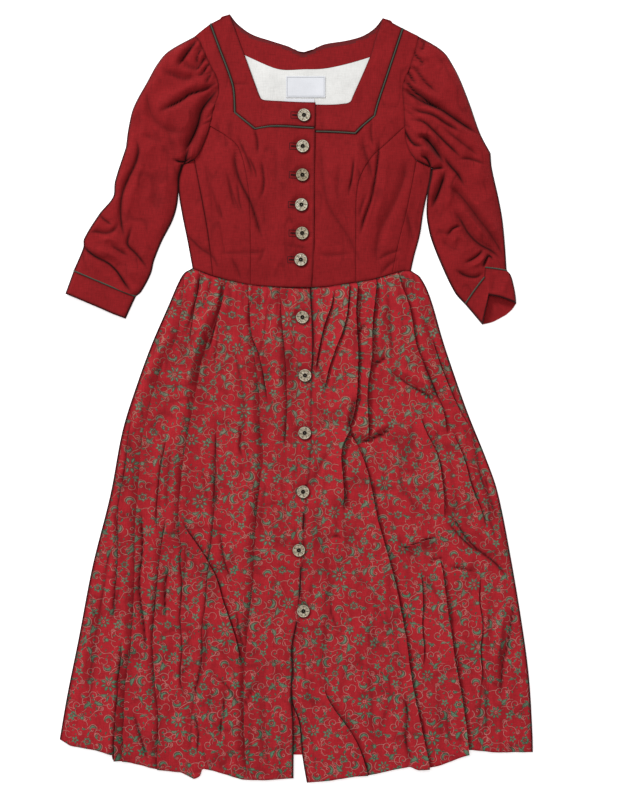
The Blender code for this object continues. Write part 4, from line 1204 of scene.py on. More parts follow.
def tubePiece(name, upper, lower, heights, foldTop, places, material, wall, paintedShade):
    # a tube pressed flat: the upper net and the lower one meet in both folds
    last = upper.shape[1] - 1
    gap = np.minimum(np.linalg.norm(lower - lower[:, :1], axis=-1), np.linalg.norm(lower - lower[:, -1:], axis=-1))
    lowHeights = foldTop * np.exp(-gap / 1.2)
    under = raised(lower, lowHeights)[:, 1:last][:, ::-1]
    width = np.linalg.norm(lower[:, -1:] - lower[:, :1], axis=-1)
    underPlaces = places[:, 1:last][:, ::-1].copy()
    underPlaces[..., 0] = 2 * width + 2 * places[:, -1:, 0] - underPlaces[..., 0]
    ring = np.concatenate([raised(upper, heights), under], axis=1)
    ringPlaces = np.concatenate([places, underPlaces], axis=1)
    paintedShade = np.concatenate([paintedShade, np.zeros(under.shape[:2])], axis=1)
    mesh = meshFromNet(name, ring, ringPlaces, closed=True, paintedShade=paintedShade)
    piece = addPiece(name, mesh, material, name)
    thicken(piece, wall)
    # the wall's sharp corners stay on the floor
    for vertex in piece.data.vertices:
        vertex.co.z = max(vertex.co.z, 0.0)
    return piece


def buildSleeves(material):
    pieces = {}
    for seed, (side, edge) in enumerate(sides.items()):
        armhole = edge["armhole"]
        head = joined(armhole[:2], (sleeve["columnsGathered"], sleeve["columnsSide"]))
        columns = len(head) - 1
        share = (6 * columns // 13, 2 * columns // 13)
        seamCounts = (share[0], share[1], columns - sum(share))
        cuffSeam = joined(edge["cuffSeam"], seamCounts)
        outer = joined(edge["sleeveOuter"], (sleeve["rowsUnderarm"], sleeve["rowsArm"]))
        inner = joined((armhole[2], edge["sleeveInner"]), (sleeve["rowsUnderarm"], sleeve["rowsArm"]))
        # below the head the sleeve goes in under the side panel
        under = np.arange(sleeve["rowsUnderarm"] + 1)
        step = np.gradient(inner, axis=0)[under] * (1 if side == "right" else -1)
        toBody = unit(np.stack([-step[:, 1], step[:, 0]], axis=1))
        inner[under] += toBody * (sleeve["tuckUnder"] * ease(under / 5.0) * ease((under[-1] - under) / 5.0))[:, None]
        net = netBetween(head, cuffSeam, outer, inner)
        fromHead, _, fromOuter, fromInner = edgeGaps(net)
        down = np.linspace(0.0, 1.0, net.shape[0])[:, None] * np.ones(net.shape[:2])
        rounded = rolledOver(fromOuter, sleeve["outerRound"]) * rolledOver(fromInner, sleeve["innerRound"])
        crown = np.interp(down, *zip(*sleeve["crown"]))
        form, fine = softForm(net, sleeve, seed)
        fine = fine * ease(fromHead / 20.0)
        heights = crown + form * ease(fromHead / 25.0) - sleeve["wrinkleDepth"] * fine
        gathers = gatherCreases(curved(armhole[0], 120), sleeve, side, seed)
        moved, heights, paintedShade = pressCreases(net, heights, [*sleeveCreases[side], *gathers], sleeve["deeper"])
        # painted shade in creases and wrinkles, along both edges and below the head
        paintedShade = darkest(
            paintedShade * 1.2, sleeve["wrinkleShade"] * fine, edgeShadeLine(fromOuter), edgeShadeLine(fromInner),
            shadeFrom(fromHead, *sleeve["headShade"][side]))
        heights = np.clip(heights, sleeve["lowest"], sleeve["highest"])
        heights = sleeve["foldTop"] + (heights - sleeve["foldTop"]) * rounded
        held = np.minimum(ease(fromOuter / 6.0), ease(fromInner / 6.0)) * ease(fromHead / 5.0)
        moved = net + (moved - net) * held[..., None]
        # the head goes in under the bodice's edge
        inward = unit(net[0] - net[2]) * sleeve["tuck"]
        inward[0] = 0.0
        tucked = np.concatenate([(moved[:1] + inward), moved])
        lower = np.concatenate([net[:1] + inward, net])
        heights = np.concatenate([np.minimum(heights[:1], sleeve["tuckTop"]), heights])
        pieces["sleeve_" + side] = tubePiece(
            "sleeve_" + side, tucked, lower, heights, sleeve["foldTop"], lower, material, sleeve["wall"],
            np.concatenate([paintedShade[:1], paintedShade]))
    return pieces


cuff = {
    "foldTop": 2.1, "top": 6.8, "mouthLift": 2.2, "round": 9.0, "deeper": 1.6, "wall": 1.1,
    "rows": 30, "columns": (36, 12, 30),
}

cuffCreases = {
    "right": (
        (0.5, 8, (-330, 182), (-312, 160), (-306, 140)),
        (-0.5, 7, (-300, 172), (-292, 150), (-288, 130)),
    ),
    "left": (
        (1.2, 7, (330, 190), (322, 172), (318, 156)),
        (-0.9, 6, (308, 196), (304, 176), (302, 160)),
        (0.8, 6, (276, 160), (284, 146), (290, 130)),
    ),
}


def buildCuffs(material):
    pieces, seams = {}, {}
    for seed, (side, edge) in enumerate(sides.items()):
        cuffSeam = joined(edge["cuffSeam"], cuff["columns"])
        outer = curved(edge["cuffOuter"], cuff["rows"])
        inner = curved((edge["cuffSeam"][-1][-1], edge["cuffEnd"][-1][-1]), cuff["rows"])
        upper, lower = (
            drawnIn(netBetween(cuffSeam, joined(end, cuff["columns"]), outer, inner, 1))
            for end in (edge["cuffEnd"], edge.get("cuffUnder", edge["cuffEnd"])))
        fromSeam, fromMouth, fromOuter, fromInner = edgeGaps(upper)
        rounded = rolledOver(np.minimum(fromOuter, fromInner), cuff["round"])
        heights = cuff["top"] + cuff["mouthLift"] * (0.4 if side == "right" else 1.6) * np.exp(-fromMouth / 14.0)
        heights = heights + unevenness(upper, 26.0, 0.7, 70 + seed) - 1.0 * np.exp(-fromSeam / 2.5)
        _, heights, paintedShade = pressCreases(upper, heights, cuffCreases[side], cuff["deeper"])
        # painted shade in creases, along the edges and beside the seam
        paintedShade = darkest(
            paintedShade, edgeShadeLine(fromOuter), edgeShadeLine(fromInner), edgeShadeLine(fromMouth),
            shadeFrom(fromSeam, bodice["edgeShade"], 2.0))
        heights = cuff["foldTop"] + (heights - cuff["foldTop"]) * rounded
        pieces["cuff_" + side] = tubePiece(
            "cuff_" + side, upper, lower, heights, cuff["foldTop"], upper, material, cuff["wall"], paintedShade)
        seams[side] = raised(upper[0], heights[0])
    return pieces, seams


# piping: a covered cord in the seams of yoke and cuffs

piping = {"radius": 1.05, "rise": -0.1, "sides": 10}


def pipingPiece(name, points, material):
    # a round cord along the points, closed at both ends
    steps = unit(np.gradient(points, axis=0))
    aside = unit(np.cross(steps, (0.0, 0.0, 1.0)))
    up = np.cross(aside, steps)
    run = runAlong(points)
    turns = np.arange(piping["sides"]) * 2 * math.pi / piping["sides"]
    rings, places = [], []
    for end, scale in [(0, 0.05), (0, 0.7)] + [(k, 1.0) for k in range(1, len(points) - 1)] + [(-1, 0.7), (-1, 0.05)]:
        radius = piping["radius"] * scale
        rings.append([points[end] + (aside[end] * math.cos(t) - up[end] * math.sin(t)) * radius for t in turns])
        places.append([(t * piping["radius"], run[end]) for t in turns])
    mesh = meshFromNet(name, np.array(rings), np.array(places), closed=True)
    addPiece(name, mesh, material, name)
    inEditMode(
        lambda: bpy.ops.mesh.normals_make_consistent(inside=False),
        lambda: bpy.ops.mesh.select_all(action="DESELECT"),
        bpy.ops.mesh.select_non_manifold,
        lambda: bpy.ops.mesh.fill_holes(sides=0),
    )


def buildPiping(material, cuffSeams):
    for side, edge in sides.items():
        line = joined(edge["piping"], (60, 20, 50))
        if side == "left":
            line = line[line[:, 0] > sides["right"]["frontEdge"][0][0] + 0.8]
        else:
            line = line[line[:, 0] < edge["frontEdge"][0][0] - 0.4]
        height = bodiceTop(line[None], side == "right")[0] + piping["rise"]
        pipingPiece("yoke_piping_" + side, raised(line, height), material)
    for name, side, first, last in (
        ("cuff_piping_right", "right", 0, sum(cuff["columns"])),
        ("cuff_piping_left_outer", "left", 0, cuff["columns"][0]),
        ("cuff_piping_left_inner", "left", sum(cuff["columns"][:2]), sum(cuff["columns"])),
    ):
        points = cuffSeams[side][first: last + 1: 2].copy()
        points[:, 2] += 1.0
        pipingPiece(name, points, material)


# the pieces under the fronts

under = {"neckStrip": 5.5, "facingTop": 2.7, "liningTop": 2.35}


def flatPiece(name, outline, bottom, wall, material):
    # a flat cut piece, from a filled outline
    mesh = bpy.data.meshes.new(name)
    points = [(x * mm, y * mm, (bottom + wall) * mm) for x, y in outline]
    mesh.from_pydata(points, [], [list(range(len(points)))])
    layer = mesh.uv_layers.new(name="UVMap")
    for loop in mesh.loops:
        layer.data[loop.index].uv = points[loop.vertex_index][:2]
    if mesh.polygons[0].normal.z < 0:
        mesh.flip_normals()
    piece = addPiece(name, mesh, material, name, 30)
    inEditMode(lambda: bpy.ops.mesh.quads_convert_to_tris(quad_method="BEAUTY", ngon_method="BEAUTY"))
    thicken(piece, wall)
    return piece


def buildUnderPieces(looks):
    pieces = {}
    neck = curved(backNeck, 120)
    right, left = sides["right"], sides["left"]
    armRight = joined(right["armhole"], (30, 12, 12))
    armLeft = joined(left["armhole"], (30, 12, 12))
    bodyRight, bodyLeft = curved(right["bodySide"], 30), curved(left["bodySide"], 30)
    waist = wholeWaist() + (0.0, 0.2)
    outline = np.vstack([
        neck,
        curved((backNeck[-1], left["shoulder"][0], left["shoulder"][-1]), 12)[1:],
        armLeft[1:] - (0.4, 0.0), bodyLeft[1:-1] - (0.4, 0.0),
        waist[::-1],
        bodyRight[::-1][1:-1] + (0.4, 0.0), armRight[::-1][:-1] + (0.4, 0.0),
        curved((right["shoulder"][0], right["shoulder"][-1], backNeck[0]), 12)[:-1],
    ])
    pieces["back_bodice"] = flatPiece("back_bodice", outline, 0.0, 1.2, looks["darkRedLinen"])

    # the facing band, with the greyer strip along its neck edge
    lower = curved(facingLower, 120)
    ends = [curved((backNeck[k], facingEnds[k], facingLower[k]), 16) for k in (0, -1)]
    net = netBetween(neck, lower, *ends, 1)
    heights = under["facingTop"] + unevenness(net, 30.0, 0.35, 80)
    strip = edgeGaps(net)[0]
    heights = heights - 0.35 * ease((strip - under["neckStrip"]) / 0.8)
    heights = heights - 0.5 * np.exp(-((net[..., 0] - 12.0) / 0.8) ** 2) * (1.0 - ease((strip - 12.0) / 2.0))
    # painted shade along the neck edge
    paintedShade = shadeFrom(strip, 0.95, 1.3)
    facing = sheetPiece("back_neck_facing", net, heights, net, looks["darkRedLinen"], 0.9, paintedShade)
    facing.data.materials.append(looks["facingBand"])
    for face in facing.data.polygons:
        if np.hypot(neck[:, 0] - face.center.x / mm, neck[:, 1] - face.center.y / mm).min() < under["neckStrip"]:
            face.material_index = 1
    pieces["back_neck_facing"] = facing

    # the lining
    top, bottom = lower - (0.0, 0.5), curved(liningLower, 120)
    net = netBetween(top, bottom, curved((top[0], bottom[0]), 60), curved((top[-1], bottom[-1]), 60), 1)
    heights = under["liningTop"] + unevenness(net, 34.0, 0.5, 81) + unevenness(net, 12.0, 0.12, 82)
    pieces["back_lining"] = sheetPiece("back_lining", net, heights, net, looks["offWhiteLinen"], 0.8)
    return pieces


label = {
    "box": (-16.0, 466.0, 45.0, 499.0), "tab": (-18.0, 449.0, 28.0, 464.0),
    "top": 3.6, "wall": 0.6, "lineInset": 1.6, "lineWidth": 0.7, "lineRise": 0.06,
}


def ribbonNet(box, top, columns, rows, seed):
    lowX, lowY, highX, highY = box
    x, y = np.meshgrid(np.linspace(lowX, highX, columns), np.linspace(highY, lowY, rows))
    net = np.stack([x, y], axis=-1)
    return net, top + unevenness(net, 20.0, 0.25, seed)


def buildLabel(looks):
    pieces = {}
    net, heights = ribbonNet(label["box"], label["top"], 50, 28, 83)
    pieces["label"] = sheetPiece("label", net, heights, net, looks["paleRibbon"], label["wall"])
    # a thin grey frame woven into the ribbon
    lowX, lowY, highX, highY = label["box"]
    inset, width = label["lineInset"], label["lineWidth"]
    bars = (
        (lowX + inset, lowY + inset, highX - inset, lowY + inset + width),
        (lowX + inset, highY - inset - width, highX - inset, highY - inset),
        (lowX + inset, lowY + inset, lowX + inset + width, highY - inset),
        (highX - inset - width, lowY + inset, highX - inset, highY - inset),
    )
    for number, bar in enumerate(bars):
        columns, rows = (40, 2) if bar[2] - bar[0] > 5 else (2, 24)
        net, heights = ribbonNet(bar, label["top"] + label["lineRise"], columns, rows, 83)
        mesh = meshFromNet(f"labelLine{number}", raised(net, heights), net)
        thicken(addPiece(f"label_line_{number + 1}", mesh, looks["greyRibbonLine"], None), 0.12)
    net, heights = ribbonNet(label["tab"], label["top"], 36, 12, 84)
    pieces["size_tab"] = sheetPiece("size_tab", net, heights, net, looks["paleRibbon"], label["wall"])
    return pieces


# sewing that shows: buttonholes with a stitched frame and a dark cord of painted shade in the slit, and rows of
# stitches

sewing = {
    "holeWide": 10.8, "holeTall": 9.8, "frame": 0.5, "lip": 0.6, "slit": 0.55,
    "stitchLong": 2.1, "stitchGap": 1.0, "stitch": 0.26, "sides": 6, "flat": 0.7,
}


def roundCord(points, radius):
    # points and faces of a short flattened cord, closed at both ends
    sides = sewing["sides"]
    steps = unit(np.gradient(points, axis=0))
    aside = np.cross(steps, (0.0, 0.0, 1.0))
    up = np.cross(aside, steps)
    turns = np.arange(sides) * 2 * math.pi / sides
    dots = []
    for k in range(len(points)):
        size = radius * (0.45 if k in (0, len(points) - 1) else 1.0)
        dots += [points[k] + (aside[k] * math.cos(t) + up[k] * math.sin(t) * sewing["flat"]) * size for t in turns]
    faces = [tuple(range(sides))[::-1]]
    for k in range(len(points) - 1):
        for s in range(sides):
            a, b = k * sides + s, k * sides + (s + 1) % sides
            faces.append((a, b, b + sides, a + sides))
    faces.append(tuple(range((len(points) - 1) * sides, len(points) * sides)))
    return dots, faces


def stitchedPiece(name, cords, radius, material):
    dots, faces = [], []
    for points in cords:
        more, moreFaces = roundCord(np.array(points, float), radius)
        faces += [tuple(k + len(dots) for k in face) for face in moreFaces]
        dots += more
    mesh = bpy.data.meshes.new(name)
    mesh.from_pydata((np.array(dots) * mm).tolist(), [], faces)
    mesh.uv_layers.new(name="UVMap")
    addPiece(name, mesh, material, None, 50)
    inEditMode(lambda: bpy.ops.mesh.normals_make_consistent(inside=False))


def onSurface(piece):
    # gives the height of a piece's upper side at a place
    bpy.context.view_layer.update()
    ray = piece.ray_cast

    def height(x, y):
        hit, where, _, _ = ray(Vector((x * mm, y * mm, 0.2)), Vector((0.0, 0.0, -1.0)))
        return where.z / mm if hit else None

    return height


def stitchRow(line, height, long=sewing["stitchLong"], gap=sewing["stitchGap"]):
    # short stitches along a line of the pattern
    run = runAlong(line)
    cords, at = [], 1.0
    while at + long < run[-1]:
        points = []
        for place, lift in ((0.0, -0.12), (0.35, 0.1), (0.65, 0.1), (1.0, -0.12)):
            x, y = (np.interp(at + long * place, run, line[:, k]) for k in (0, 1))
            z = height(x, y)
            if z is not None:
                points.append((x, y, z + lift))
        if len(points) == 4:
            cords.append(points)
        at += long + gap
    return cords


def beside(line, distance):
    # a line that runs to the left of another one
    steps = unit(np.gradient(line, axis=0))
    return line + np.stack([-steps[:, 1], steps[:, 0]], axis=1) * distance


def buildButtonholes(piecesBySide, looks):
    frames, lips, slitShades = [], [], []
    for number, (x, y) in enumerate(buttonPlaces[:6], 1):
        panel = piecesBySide["yoke_right"] if number == 1 else piecesBySide["centre_front_right"]
        height = onSurface(panel)
        left, right = x - 9.5 - sewing["holeWide"], x - 7.5
        tall = sewing["holeTall"] / 2

        def along(corners):
            line = np.vstack([np.linspace(a, b, 7)[: 6 if k < len(corners) - 2 else 7]
                              for k, (a, b) in enumerate(zip(corners, corners[1:]))])
            return [(px, py, (height(px, py) or 6.0) + 0.12) for px, py in line]

        corners = np.array([(right, y + tall), (left, y + tall), (left, y - tall), (right, y - tall)])
        frames.append(along(corners))
        for offset in (-0.8, 0.8):
            lips.append(along(np.array([(left + 3.0, y + offset), (right, y + offset)])))
        # a dark cord in the slit: painted shade
        slitShades.append(along(np.array([(left + 3.2, y), (right, y)])))
        lips.append(along(np.array([(left + 2.6, y - 1.6), (left + 2.6, y + 1.6)])))
    stitchedPiece("buttonhole_frames", frames, sewing["frame"], looks["holeThread"])
    stitchedPiece("buttonhole_lips", lips, sewing["lip"], looks["holeThread"])
    stitchedPiece("buttonhole_slit_shade", slitShades, sewing["slit"], looks["paintedSlitShade"])


def buildStitches(pieces, looks):
    height = onSurface(pieces["centre_front_right"])
    red = stitchRow(beside(curved(sides["right"]["frontEdge"], 160), -2.2), height)
    for side, turn in (("right", -1), ("left", 1)):
        height = onSurface(pieces["yoke_" + side])
        red += stitchRow(beside(joined(sides[side]["neck"], (60, 8, 40)), 1.9 * turn), height)
        height = onSurface(pieces["skirt_front_" + side])
        front = curved(skirtEdges[side]["front"], 300)
        red += stitchRow(beside(front, -7.0 if side == "right" else 7.0), height, 3.0, 1.6)
        hem = np.array(skirtEdges[side]["hem"], float)
        hem = spread(hem if side == "right" else hem[::-1], 300) + (0.0, 9.0)
        red += stitchRow(hem[6:-6], height, 3.0, 2.0)
    height = onSurface(pieces["back_neck_facing"])
    red += stitchRow(beside(curved(backNeck, 200), -6.4), height)
    stitchedPiece("red_stitches", red, sewing["stitch"], looks["redThread"])
    height = onSurface(pieces["label"])
    lowX, lowY, highX, highY = label["box"]
    white = []
    for a, b in (((lowX + 0.7, highY), (lowX + 0.7, lowY)), ((highX - 0.7, highY), (highX - 0.7, lowY))):
        white += stitchRow(np.linspace(a, b, 20), height, 1.6, 0.9)
    stitchedPiece("white_stitches", white, 0.2, looks["whiteThread"])


# skirt

skirt = {
    "base": 3.0, "bodyRise": 3.0, "bodyOver": 60.0, "waistRise": 1.4, "waistRiseOver": 60.0,
    "lowest": 2.6, "highest": 18.5, "mainDeeper": 1.5, "smallDeeper": 1.7,
    "placketLift": 1.6, "placketFlat": 50.0, "placketSlope": 25.0,
    "sideTop": 2.7, "sideOver": 16.0, "rows": 230, "columns": 124, "wall": 0.9,
    "nearFold": (-3.4, -1.9, -0.7, 0.7, 1.9, 3.4),
    # cloth out of sight in a fold, by its lift, and how slowly it goes
    "hiddenFrom": 3.4, "hiddenPerLift": 2.0, "hiddenOver": 260.0,
    "gather": (1.3, 3.4, 70.0), "toward": {"right": (-104, -88), "left": (-92, -76)},
    "hills": ((70.0, 2.2, 90), (26.0, 1.0, 92)), "crumples": (16.0, 62.0, 1.0, 94),
    "wrinkles": ((24.0, 110.0, 1.0, 7), (52.0, 34.0, 0.8, 17)), "wrinkleDepth": 1.1, "wrinkleShade": 0.4,
    "waistShade": (0.7, 1.5), "hemShade": (0.6, 1.4),
    # the cloth is calm beside the front edge, as far as the first figure and up to the second from there
    "calm": {"right": (8.0, 26.0), "left": (2.0, 20.0)},
    "gathers": 21, "gatherSeed": 31, "tuck": 1.6, "tuckTop": 2.1, "tuckOver": 4.5,
}

skirtEdges = {
    "right": {
        "side": (
            (-161, 201), (-173, 195), (-182, 181), (-198, 144), (-224, 84), (-245, 27), (-269, -49),
            (-288, -149), (-316, -261), (-337, -371), (-355, -460), (-366.6, -528),
        ),
        "front": (
            (23, 171), (26, 120), (27, 64), (22, 10), (22, -54), (19, -108), (14, -160), (10, -235),
            (7, -289), (5, -331), (-1, -359), (-6, -388), (-5, -418), (-7, -463), (-4, -500), (-4, -588),
        ),
        "hem": (
            (-366.6, -528), (-350, -538), (-310, -545), (-286, -552), (-285, -561), (-265, -562), (-235, -569),
            (-214, -575), (-178, -579), (-158, -589), (-149, -585), (-145, -573), (-127, -577), (-84, -590),
            (-52, -591), (-4, -588),
        ),
    },
    "left": {
        "side": (
            (178, 197), (192, 188), (207, 158), (227, 90), (247, 30), (267, -26), (294, -93), (312, -145),
            (333, -250), (352, -365), (361, -437), (366, -520), (366.6, -548),
        ),
        "front": ((-10, 171), (-10, -10), (-13, -196), (-11, -382), (-8, -467), (4, -502), (9, -553), (16, -595)),
        "hem": (
            (366.6, -548), (306, -548), (270, -544), (268, -550), (229, -566), (202, -574), (188, -575),
            (176, -570), (150, -575), (110, -584), (92, -585), (56, -591), (16, -595),
        ),
    },
}
hemBack = ((-366.6, -528), (-286, -548), (-149, -551), (6, -552), (161, -550), (269, -545), (366.6, -548))

# Folds from the waist to the hem. The net has a column along each.
mainFolds = {
    "right": (
        (4.2, 13, 2.4, 1, (-171, 211), (-174, 168), (-180, 114), (-186, 89), (-207, 50), (-222, 4), (-231, -33),
         (-238, -64), (-242, -119), (-248, -188), (-250, -297), (-255, -382), (-262, -429), (-266, -491),
         (-270, -579)),
        (5.8, 15, 3.2, 1, (-104, 199), (-109, 171), (-115, 142), (-142, 67), (-154, 10), (-165, -49), (-174, -103),
         (-179, -157), (-180, -204), (-173, -244)),
        (3.8, 10, 1.8, 1, (-200, -181), (-210, -243), (-216, -305), (-221, -359), (-222, -382), (-217, -452),
         (-213, -491), (-216, -588)),
        (3.4, 9, 1.8, 1, (-76, 202), (-72, 137), (-69, 98), (-56, 64), (-49, 33), (-42, -12)),
        (5.8, 14, 3.0, 1, (-67, 75), (-61, 41), (-56, 5), (-55, -49), (-50, -83), (-55, -134), (-61, -188),
         (-64, -243), (-67, -297), (-73, -343), (-76, -382), (-80, -436), (-81, -491), (-76, -591)),
        (3.6, 9, 1.8, 1, (-27, 196), (-22, 122), (-16, 52), (-14, -18), (-18, -80)),
        (2.2, 6, 1.0, 1, (-124, -40), (-124, -89), (-126, -139), (-128, -188), (-132, -229), (-137, -268),
         (-140, -317), (-145, -351), (-145, -396), (-151, -435), (-162, -471)),
        (2.4, 6, 1.0, 1, (-176, -219), (-179, -252), (-176, -288), (-179, -337), (-176, -387), (-179, -435),
         (-171, -467)),
        (4.4, 10, 2.2, -1, (-176, -188), (-166, -207), (-142, -243), (-124, -277), (-114, -312), (-103, -343),
         (-94, -371), (-89, -395), (-87, -412)),
        (2.6, 6, 1.2, 1, (-199, -58), (-208, -99), (-213, -139), (-216, -184), (-214, -212)),
        (2.6, 6, 1.0, 1, (-142, 204), (-148, 190), (-152, 163), (-157, 143), (-162, 106), (-165, 75)),
    ),
    "left": (
        (3.2, 9, 1.8, -1, (83, 196), (80, 153), (75, 114), (60, 75), (49, 41), (43, 7)),
        (6.4, 15, 3.4, -1, (96, 211), (93, 160), (91, 134), (93, 98), (94, 67), (93, 13), (89, -18), (82, -44),
         (72, -68), (68, -91), (71, -126), (74, -176)),
        (5.2, 13, 2.6, -1, (127, 211), (122, 160), (117, 114), (116, 60), (110, 21), (110, -26), (113, -71)),
        (5.6, 14, 3.0, -1, (77, -30), (83, -54), (93, -71), (106, -103), (116, -142), (125, -188), (137, -230),
         (153, -289), (168, -367), (179, -444), (192, -506), (204, -564), (212, -607)),
        (5.6, 13, 3.0, -1, (155, 218), (161, 176), (172, 149), (179, 114), (184, 83), (195, 56), (210, 21),
         (223, -10), (235, -58)),
        (4.2, 11, 2.0, -1, (192, -24), (199, -49), (218, -88), (226, -134), (230, -188)),
        (5.8, 14, 3.0, -1, (223, -243), (226, -274), (232, -320), (238, -359), (246, -413), (257, -475), (265, -537),
         (271, -591)),
        (4.8, 12, 2.2, -1, (41, -443), (48, -463), (60, -483), (83, -514), (99, -545), (116, -598)),
        (2.2, 6, 1.0, -1, (192, -260), (195, -289), (196, -312), (195, -354), (198, -390), (196, -418)),
        (2.0, 6, 1.0, -1, (285, -269), (283, -312), (288, -350), (285, -388), (288, -427), (286, -452)),
        (3.6, 8, 1.6, -1, (209, 98), (220, 60), (229, 36), (243, 2), (257, -26), (271, -49), (286, -78), (299, -106),
         (310, -140), (316, -187)),
        (3.0, 8, 1.4, -1, (241, -49), (252, -74), (261, -97), (271, -134), (286, -173), (296, -204)),
    ),
}

smallCreases = {
    "right": (
        (3.8, 7, 1.6, 1, (-255, -30), (-261, -69), (-264, -109), (-273, -148), (-276, -184), (-276, -240),
         (-279, -289), (-284, -350)),
        (3.8, 7, 1.6, 1, (-268, -370), (-275, -440), (-281, -529), (-284, -588)),
        (-2.2, 2.6, (-111, 168), (-115, 153), (-123, 122), (-132, 87), (-140, 60)),
        (-2.2, 2.4, (-90, -35), (-86, -55), (-87, -80), (-78, -100)),
        (-3.0, 3, (-253, -480), (-241, -525), (-227, -570)),
        (-2.2, 2.6, (-129, -426), (-107, -446), (-95, -464), (-83, -485)),
        (-1.8, 3.4, (-286, -219), (-293, -258), (-304, -328), (-315, -396), (-323, -455)),
        (-3.4, 2.8, (-241, -170), (-238, -230), (-243, -290), (-236, -350), (-232, -400)),
        (-3.0, 2.6, (-196, -250), (-203, -300), (-202, -352)),
        (-3.2, 3, (-160, -480), (-152, -520), (-156, -560)),
        (-2.8, 2.6, (-118, -200), (-112, -250), (-96, -292)),
        (-2.6, 2.6, (-108, -440), (-114, -492), (-122, -540)),
        (-2.0, 5, (-128, -74), (-124, -126), (-124, -185)),
        (-2.8, 3, (-93, -319), (-89, -359), (-76, -409)),
        (-4.2, 3.2, (9, -350), (-2, -387), (-8, -418), (-11, -443)),
        (2.4, 5, (-4, -353), (-13, -387), (-19, -421)),
        (-2.0, 3, (-55, -436), (-76, -466), (-83, -492)),
        (2.6, 9, (-131, 153), (-155, 75), (-171, 10)),
        (-1.8, 3.2, (-155, 153), (-165, 118), (-174, 94)),
        (1.8, 10, (-93, 106), (-90, -2), (-93, -126)),
        (-1.6, 4, (-100, 91), (-81, -2), (-84, -80)),
        (2.0, 12, (-142, -312), (-140, -405), (-149, -529)),
        (-1.8, 5, (-138, -328), (-142, -410), (-159, -466), (-165, -560)),
        (-1.6, 5, (-298, -297), (-310, -390), (-323, -491)),
        (2.2, 8, (-317, -312), (-329, -405), (-341, -498)),
        (-1.6, 4, (-227, 91), (-248, 13), (-264, -49)),
        (2.0, 8, (-202, 106), (-233, 35), (-252, -18)),
        (1.8, 11, (-41, -111), (-38, -219), (-41, -343)),
        (-1.4, 4, (-193, -64), (-199, -142), (-200, -181)),
        (-1.4, 2.4, (-155, 148), (-142, 142), (-128, 139)),
        (1.6, 5, (-44, 106), (-31, 60), (-22, 5)),
    ),
    "left": (
        (2.6, 8, 1.4, -1, (60, 177), (55, 145), (44, 114), (35, 75), (29, 35)),
        (-2.4, 2.8, (291, -103), (296, -145), (300, -187), (311, -227)),
        (-3.0, 2.8, (229, -185), (252, -212), (271, -230), (291, -240), (314, -246)),
        (-2.8, 3.4, (167, -449), (172, -492), (170, -529), (181, -573)),
        (-3.2, 2.6, (89, 94), (99, 106), (111, 118)),
        (-2.0, 3, (52, -297), (54, -331), (68, -368)),
        (-5.0, 4.6, (93, 10), (85, -29), (75, -64)),
        (-4.2, 4.4, (192, 66), (204, 38), (217, 7), (226, -18)),
        (-3.0, 8, (32, -165), (38, -219), (48, -258), (54, -297), (49, -351), (44, -405), (48, -471)),
        (-3.2, 4.6, (269, -33), (277, -75), (285, -119), (300, -157), (314, -195)),
        (-4.6, 4.4, (232, -170), (248, -192), (263, -216), (285, -237), (308, -255), (331, -281)),
        (3.2, 5, (254, -176), (275, -199), (300, -224), (322, -250)),
        (2.8, 5, 1.8, -1, (151, -240), (187, -224), (229, -210)),
        (-2.4, 2.6, (204, -258), (218, -247), (232, -249)),
        (-2.6, 2.6, (230, -258), (254, -263), (285, -269)),
        (-4.6, 2.8, (111, 50), (127, 56), (144, 66)),
        (-4.2, 2.6, (93, -72), (122, -60), (153, -44)),
        (2.2, 4, (99, -60), (124, -49), (148, -35)),
        (-5.0, 2.8, (139, 46), (158, 33), (178, 19), (203, 4), (223, -13)),
        (2.8, 4, (147, 55), (170, 39), (198, 24), (223, 7)),
        (-3.8, 3.6, (337, -306), (333, -343), (327, -382), (319, -413), (317, -467)),
        (2.6, 6, (323, -312), (316, -374), (306, -421)),
        (-2.2, 5, (60, -68), (40, -99), (29, -123), (18, -157)),
        (2.2, 9, (52, -126), (58, -204), (65, -281)),
        (-1.8, 3, (100, -393), (103, -443)),
        (-1.6, 4, (311, -173), (323, -227), (336, -281)),
        (2.0, 8, (204, 153), (226, 75), (248, -2)),
        (-1.6, 4, (198, 134), (210, 83), (223, 44)),
        (2.0, 11, (161, -64), (179, -157), (198, -250)),
        (-1.6, 6, (139, -250), (155, -374), (164, -467)),
        (2.0, 11, (285, -312), (294, -405), (300, -514)),
        (-2.0, 4, (297, -436), (294, -483), (294, -529)),
        (-1.8, 3, (46, -219), (62, -213), (74, -219)),
        (1.8, 6, (108, 153), (105, 75), (100, -2)),
        (-1.6, 3.4, (144, 153), (147, 91), (151, 56)),
    ),
}


def waistOf(side):
    return joined(waistLine[side], (24, 16, 24))


def wholeWaist():
    right, left = waistOf("right"), waistOf("left")
    return np.vstack([right, left[left[:, 0] > right[-1, 0]]])


def alongLine(points, wanted):
    # points at wanted shares of a line's length, for an array of any shape
    run = placesAlong(points)
    return np.stack([np.interp(wanted, run, points[:, k]) for k in (0, 1)], axis=-1)


